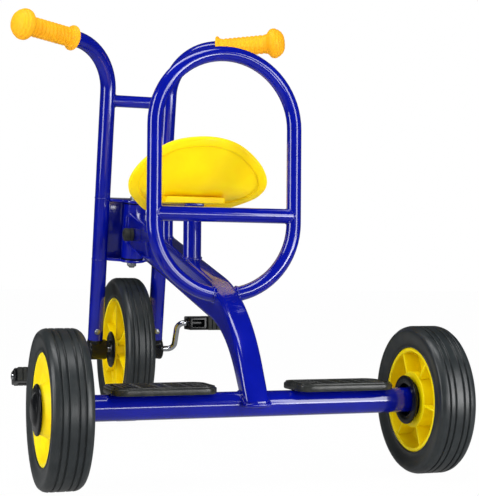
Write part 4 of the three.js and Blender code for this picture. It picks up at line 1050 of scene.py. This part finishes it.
def pedal(side, sign):
    """Pedal body with a window near the crank and pockets beyond it, and two ridged treads."""
    inner, length, deep, tall = PEDAL_INNER, PEDAL_LENGTH, 22, 14
    body = eased(block("pedal_core", (inner, -deep, -tall), (inner + length, deep, tall)), 2.4, 3)
    carved(body, block("pedal_window", (inner + 6, -30, -8), (inner + 33, 30, 8)))
    for z in (-tall, tall):
        for k in range(2):
            low = inner + 42 + 27 * k
            carved(body, block("pedal_pocket", (low, -15, z - 1.4), (low + 22, 15, z + 1.4)))
    bore = turned("pedal_bore", [(PEDAL_BORE, inner - 5), (PEDAL_BORE, inner + length + 5)], 40)
    carved(body, placed(bore, along((1, 0, 0))))
    sleeve = turned("pedal_sleeve", [(PEDAL_BORE, inner), (9.6, inner), (10, inner + 0.5), (10, inner + 34),
                                     (PEDAL_BORE, inner + 34), (PEDAL_BORE, inner)], 40)
    placed(sleeve, along((1, 0, 0)))
    pieces = [(joined("pedal_%s_shell" % side, body, sleeve), BLACK, "black", "pedal_%s" % side)]
    for facing, which in ((1, "rear"), (-1, "front")):
        node = "pedal_tread_%s_%s" % (which, side)
        near, far = sorted((facing * 22.3, facing * 30.3))
        tread = block(node + "_shell", (inner + 39, near, -tall), (inner + length - 6, far, tall))
        eased(tread, 1.4, 2)
        middle = facing * 28.9
        for k in range(5):
            low = inner + 46 + 9.6 * k
            carved(tread, block("tread_groove", (low, middle - 2, -16), (low + 2.6, middle + 2, 16)))
        pieces.append((tread, TREAD, "rubber", node))
    turn = Matrix.Rotation(LEFT_PEDAL_TILT, 4, "X") if sign > 0 else MIRROR
    for piece, material, slot, node in pieces:
        placed(piece, Matrix.Translation((FRONT_AXLE - CRANK_UP * sign) * MM) @ turn)
        if sign < 0:
            faces_out(piece)
        dressed(smooth(piece), material, "%s_pedal" % side, slot, node)


def rear_wheel(side, sign):
    """Outside a smooth dish and a domed cap; inside a deep recess with six ribs and a flanged hub."""
    centre = Vector((sign * REAR_WHEEL_X, REAR_AXLE.y, REAR_AXLE.z))
    body = "%s_rear_wheel" % side
    out = (sign, 0, 0)
    turned_on("rear_tyre_%s_shell" % side, tyre_rings(REAR_RADIUS, REAR_RIM_RADIUS), out, centre, TYRE, body,
              "tyre", "rear_tyre_%s" % side, sides=112, angle=30)
    rings = [(6.5, -18), (29.3, -18), (29.3, -22.6), (29.7, -23), (42.2, -23), (43, -22.2), (43.6, -2),
             (45, 1.6), (48, 3), (66, 3), (71, 0.6), (73, -4), (74.2, -22.9), (75.2, -24), (79.2, -24),
             (80, -23.3), (80, 0), (80, 23.3), (79.2, 24), (76, 24), (74.6, 22.9), (72, 17.4), (67, 13.4),
             (58, 10.6), (46, 10.4), (40, 16), (34.4, 27.4), (32, 29.3), (27, 29.3), (27, 9), (20, 9),
             (20, 29.3), (6.5, 29.3), (6.5, -18)]
    pieces = [placed(turned("rear_rim_disc", rings, 88), along((1, 0, 0)))]
    for k in range(RIM_RIBS):
        degrees = REAR_RIB_TURN + 360 / RIM_RIBS * k
        pieces.append(rib_wall("rear_rib_%d" % k, 40, 75.4, -22.4, 4.5, degrees))
    rim = joined("rear_rim_%s_shell" % side, *pieces)
    if sign < 0:
        faces_out(placed(rim, MIRROR))
    shaped(rim, Matrix.Translation(centre * MM), RIM, body, "yellow", "rear_rim_%s" % side)
    cup = [(6.5, -18.3), (29, -18.3), (29, -30.5), (36.8, -30.5), (37.5, -31.2), (37.5, -33.4), (36.6, -34.3),
           (35.4, -34.5), (27, -34.5), (25.6, -33.8), (25, -32.6), (24.6, -21.3), (6.5, -21.3), (6.5, -18.3)]
    turned_on("rear_hub_%s_shell" % side, cup, out, centre, BLACK, body, "black", "rear_hub_%s" % side)
    cap = [(11, 29.6), (36.5, 29.6), (36.5, 31.6), (35.6, 32.7), (33.6, 33.2), (25.6, 33.6), (23.6, 34.1),
           (22.6, 34.9), (21.2, 36.1), (17.6, 37.8), (12.6, 38.85), (6.8, 39.25), (0.5, 39.3)]
    turned_on("hub_cap_%s_shell" % side, cap, out, centre, BLACK, body, "black", "hub_cap_%s" % side,
              angle=50)


# Saddle

# The rim from the back round the left flank to the nose: shares of the half width, of the length from
# the nose, and of the rise over the lowest rim
RIM_SHARES = [(0, 1, 1), (0.438, 0.947, 0.937), (0.702, 0.91, 0.784), (0.909, 0.868, 0.577),
              (1, 0.816, 0.387), (0.959, 0.737, 0.243), (0.851, 0.639, 0.153), (0.727, 0.526, 0.081),
              (0.603, 0.414, 0.027), (0.471, 0.301, 0.01), (0.347, 0.18, 0.08), (0.215, 0.068, 0.16),
              (0, 0, 0.22)]
SADDLE_HALF = 121
SADDLE_LENGTH = 266
SADDLE_NOSE = REAR_AXLE.y - 488
SADDLE_PAN = Vector((0, REAR_AXLE.y - 350, 443))
SADDLE_LOW = 425
SADDLE_RISE = 111
SADDLE_POWER = 4.2


def saddle_rim(count):
    """Evenly spaced points of the closed rim curve, a Catmull-Rom curve through the shares."""
    half = [Vector((x * SADDLE_HALF, SADDLE_NOSE + y * SADDLE_LENGTH, SADDLE_LOW + z * SADDLE_RISE))
            for x, y, z in RIM_SHARES]
    knots = half + [Vector((-p.x, p.y, p.z)) for p in reversed(half[1:-1])]
    fine = []
    for i in range(len(knots)):
        a, b, c, d = (knots[(i + k) % len(knots)] for k in (-1, 0, 1, 2))
        span = [max(1e-6, (q - p).length ** 0.5) for p, q in ((a, b), (b, c), (c, d))]
        t1 = (b - a) / span[0] - (c - a) / (span[0] + span[1]) + (c - b) / span[1]
        t2 = (c - b) / span[1] - (d - b) / (span[1] + span[2]) + (d - c) / span[2]
        t1, t2 = t1 * span[1], t2 * span[1]
        for k in range(24):
            t = k / 24
            fine.append(b * (2 * t ** 3 - 3 * t ** 2 + 1) + t1 * (t ** 3 - 2 * t ** 2 + t)
                        + c * (-2 * t ** 3 + 3 * t ** 2) + t2 * (t ** 3 - t ** 2))
    lengths = [0.0]
    for p, q in zip(fine, fine[1:] + fine[:1]):
        lengths.append(lengths[-1] + (q - p).length)
    points, spot = [], 0
    for i in range(count):
        want = lengths[-1] * i / count
        while lengths[spot + 1] < want:
            spot += 1
        share = (want - lengths[spot]) / (lengths[spot + 1] - lengths[spot])
        points.append(fine[spot].lerp(fine[(spot + 1) % len(fine)], share))
    return points


def saddle():
    """Moulded saddle: a dished top that climbs steeply to the raised back, a rounded rim and a skirt."""
    rim = saddle_rim(96)
    top_shares = [0.06, 0.14, 0.22, 0.3, 0.38, 0.46, 0.54, 0.62, 0.69, 0.75, 0.8, 0.84, 0.88, 0.915, 0.945,
                  0.97, 0.99]
    count = len(rim)

    def top_spot(i, share):
        spot = SADDLE_PAN.lerp(rim[i % count], share)
        spot.z = SADDLE_PAN.z + (rim[i % count].z - SADDLE_PAN.z) * share ** SADDLE_POWER
        return spot

    def outer_normal(i, share):
        """Square to the dish, on its outer side."""
        across = top_spot(i, min(1, share + 0.02)) - top_spot(i, share - 0.03)
        round_ = top_spot(i + 1, share) - top_spot(i - 1, share)
        normal = across.cross(round_).normalized()
        return normal if normal.z < 0 else -normal

    def dish_ring(share, depth=0.0):
        return [top_spot(i, share) + outer_normal(i, share) * depth for i in range(count)]

    def lip_ring(inward, back):
        """The rolled edge: so far inwards from the rim, and so far out behind the dish."""
        ring = []
        for i in range(count):
            round_ = (rim[(i + 1) % count] - rim[i - 1]).normalized()
            inner = top_spot(i, 0.93) - rim[i]
            inner = (inner - round_ * inner.dot(round_)).normalized()
            ring.append(rim[i] + inner * inward + outer_normal(i, 0.98) * back)
        return ring

    rings = [dish_ring(share) for share in top_shares]
    lip = ((0.4, 0.3), (-0.6, 1.2), (-1.3, 2.8), (-1.5, 4.6), (-1.1, 6.8), (0.2, 8.6), (2.4, 9.4), (6, 9.7),
           (10.5, 9.6), (13.4, 9.2), (14.8, 8.2), (15.2, 6.8), (15.7, 5.6), (17.2, 4.9))
    rings += [lip_ring(inward, back) for inward, back in lip]
    rings += [dish_ring(share, 4.6) for share in reversed(top_shares[:-6])]
    deselect_all()
    bpy.ops.mesh.primitive_circle_add(vertices=len(rim), radius=MM)
    piece = started("seat_shell_skin")
    for k, ring in enumerate(rings):
        if k:
            bpy.ops.mesh.extrude_region_move(TRANSFORM_OT_translate={"value": (0, 0, 0)})
        shape = bmesh.from_edit_mesh(piece.data)
        shape.verts.ensure_lookup_table()
        for index, point in zip(chosen(), ring):
            shape.verts[index].co = point * MM
        bmesh.update_edit_mesh(piece.data)
    closed(piece, 0.001)
    finish_with(piece, "SUBSURF", levels=1, render_levels=1)
    dressed(smooth(piece, 60), SADDLE, "frame", "yellow", "seat_shell")
    pad = plate("saddle_pad_block", rounded_outline(53, 59.5, 5), 0.3, 11.5)
    eased(pad, 2.0, 4)
    shaped(pad, ON_RAIL @ Matrix.Translation((0, -56.5 * MM, 0)), SADDLE, "frame", "yellow")


# Standing plates

def footplate(side, sign):
    """Steel plate with a rubber tread: a raised border, waves across the middle and chequered ends."""
    low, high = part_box("footplate_bracket_%s" % side)
    steel = plate("footplate_bracket_%s_shell" % side, rounded_outline(71, 37, 15), low.z / MM, high.z / MM)
    eased(steel, 0.6, 2)
    low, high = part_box("footplate_%s" % side)
    base, top = low.z / MM, high.z / MM
    sunk = top - 2.8
    rubber = plate("footplate_rubber", rounded_outline(78, 44, 22, 12), base, top - 2)
    eased(rubber, 2.2, 4)
    carved(rubber, plate("steel_room", rounded_outline(71.3, 37.3, 15.3), base - 5, base + 3.3))
    border = plate("tread_border", rounded_outline(75.5, 41.5, 20, 12), sunk, top - 0.1)
    carved(border, plate("tread_border_room", rounded_outline(72, 38, 17, 12), top - 4, top + 4))
    pieces = [rubber, eased(border, 0.4, 2, 50)]
    line = [(x, 3.2 * math.sin(x * math.pi / 22)) for x in range(-40, 41, 4)]
    for row in range(5):
        y = -28 + 14 * row
        outline = [(x, y + 2.2 + rise) for x, rise in line] + [(x, y - 2.2 + rise) for x, rise in line[::-1]]
        pieces.append(eased(plate("tread_wave_%d" % row, outline, sunk, top), 0.5, 2, 60))
    stud = eased(plate("tread_stud", [(0, -3.6), (3.6, 0), (0, 3.6), (-3.6, 0)], sunk, top), 0.4, 1)
    for end in (-1, 1):
        for i in range(3):
            for j in range(7):
                spot = Vector((end * (47 + 8 * i), -24 + 8 * j, 0))
                pieces.append(copy_of(stud, "tread_stud_copy", Matrix.Translation(spot * MM)))
    bpy.data.objects.remove(stud)
    tread = joined("footplate_%s_shell" % side, *pieces)
    spot = Matrix.Translation(Vector((sign * FOOTPLATE_X, REAR_AXLE.y, 0)) * MM)
    shaped(steel, spot, PAINT, "frame", "blue", "footplate_bracket_%s" % side)
    shaped(tread, spot, PLATE, "frame", "rubber", "footplate_%s" % side)


main_tube()
main_tube_welds()
steering_head()
steering_stops()
rear_axle()
hoop()
saddle_carrier()
saddle()
fork_legs()
grips()
leg_rivets()
bearing_blocks()
steering_yoke()
kingpin()
front_wheel()
crank()
for side, sign in SIDES.items():
    pedal(side, sign)
    rear_wheel(side, sign)
    footplate(side, sign)
for name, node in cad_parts.items():
    if name in ("rear_axle", "axle_nut_left", "axle_nut_right"):
        node.data.materials.clear()
        node.data.materials.append(ZINC)

deselect_all()
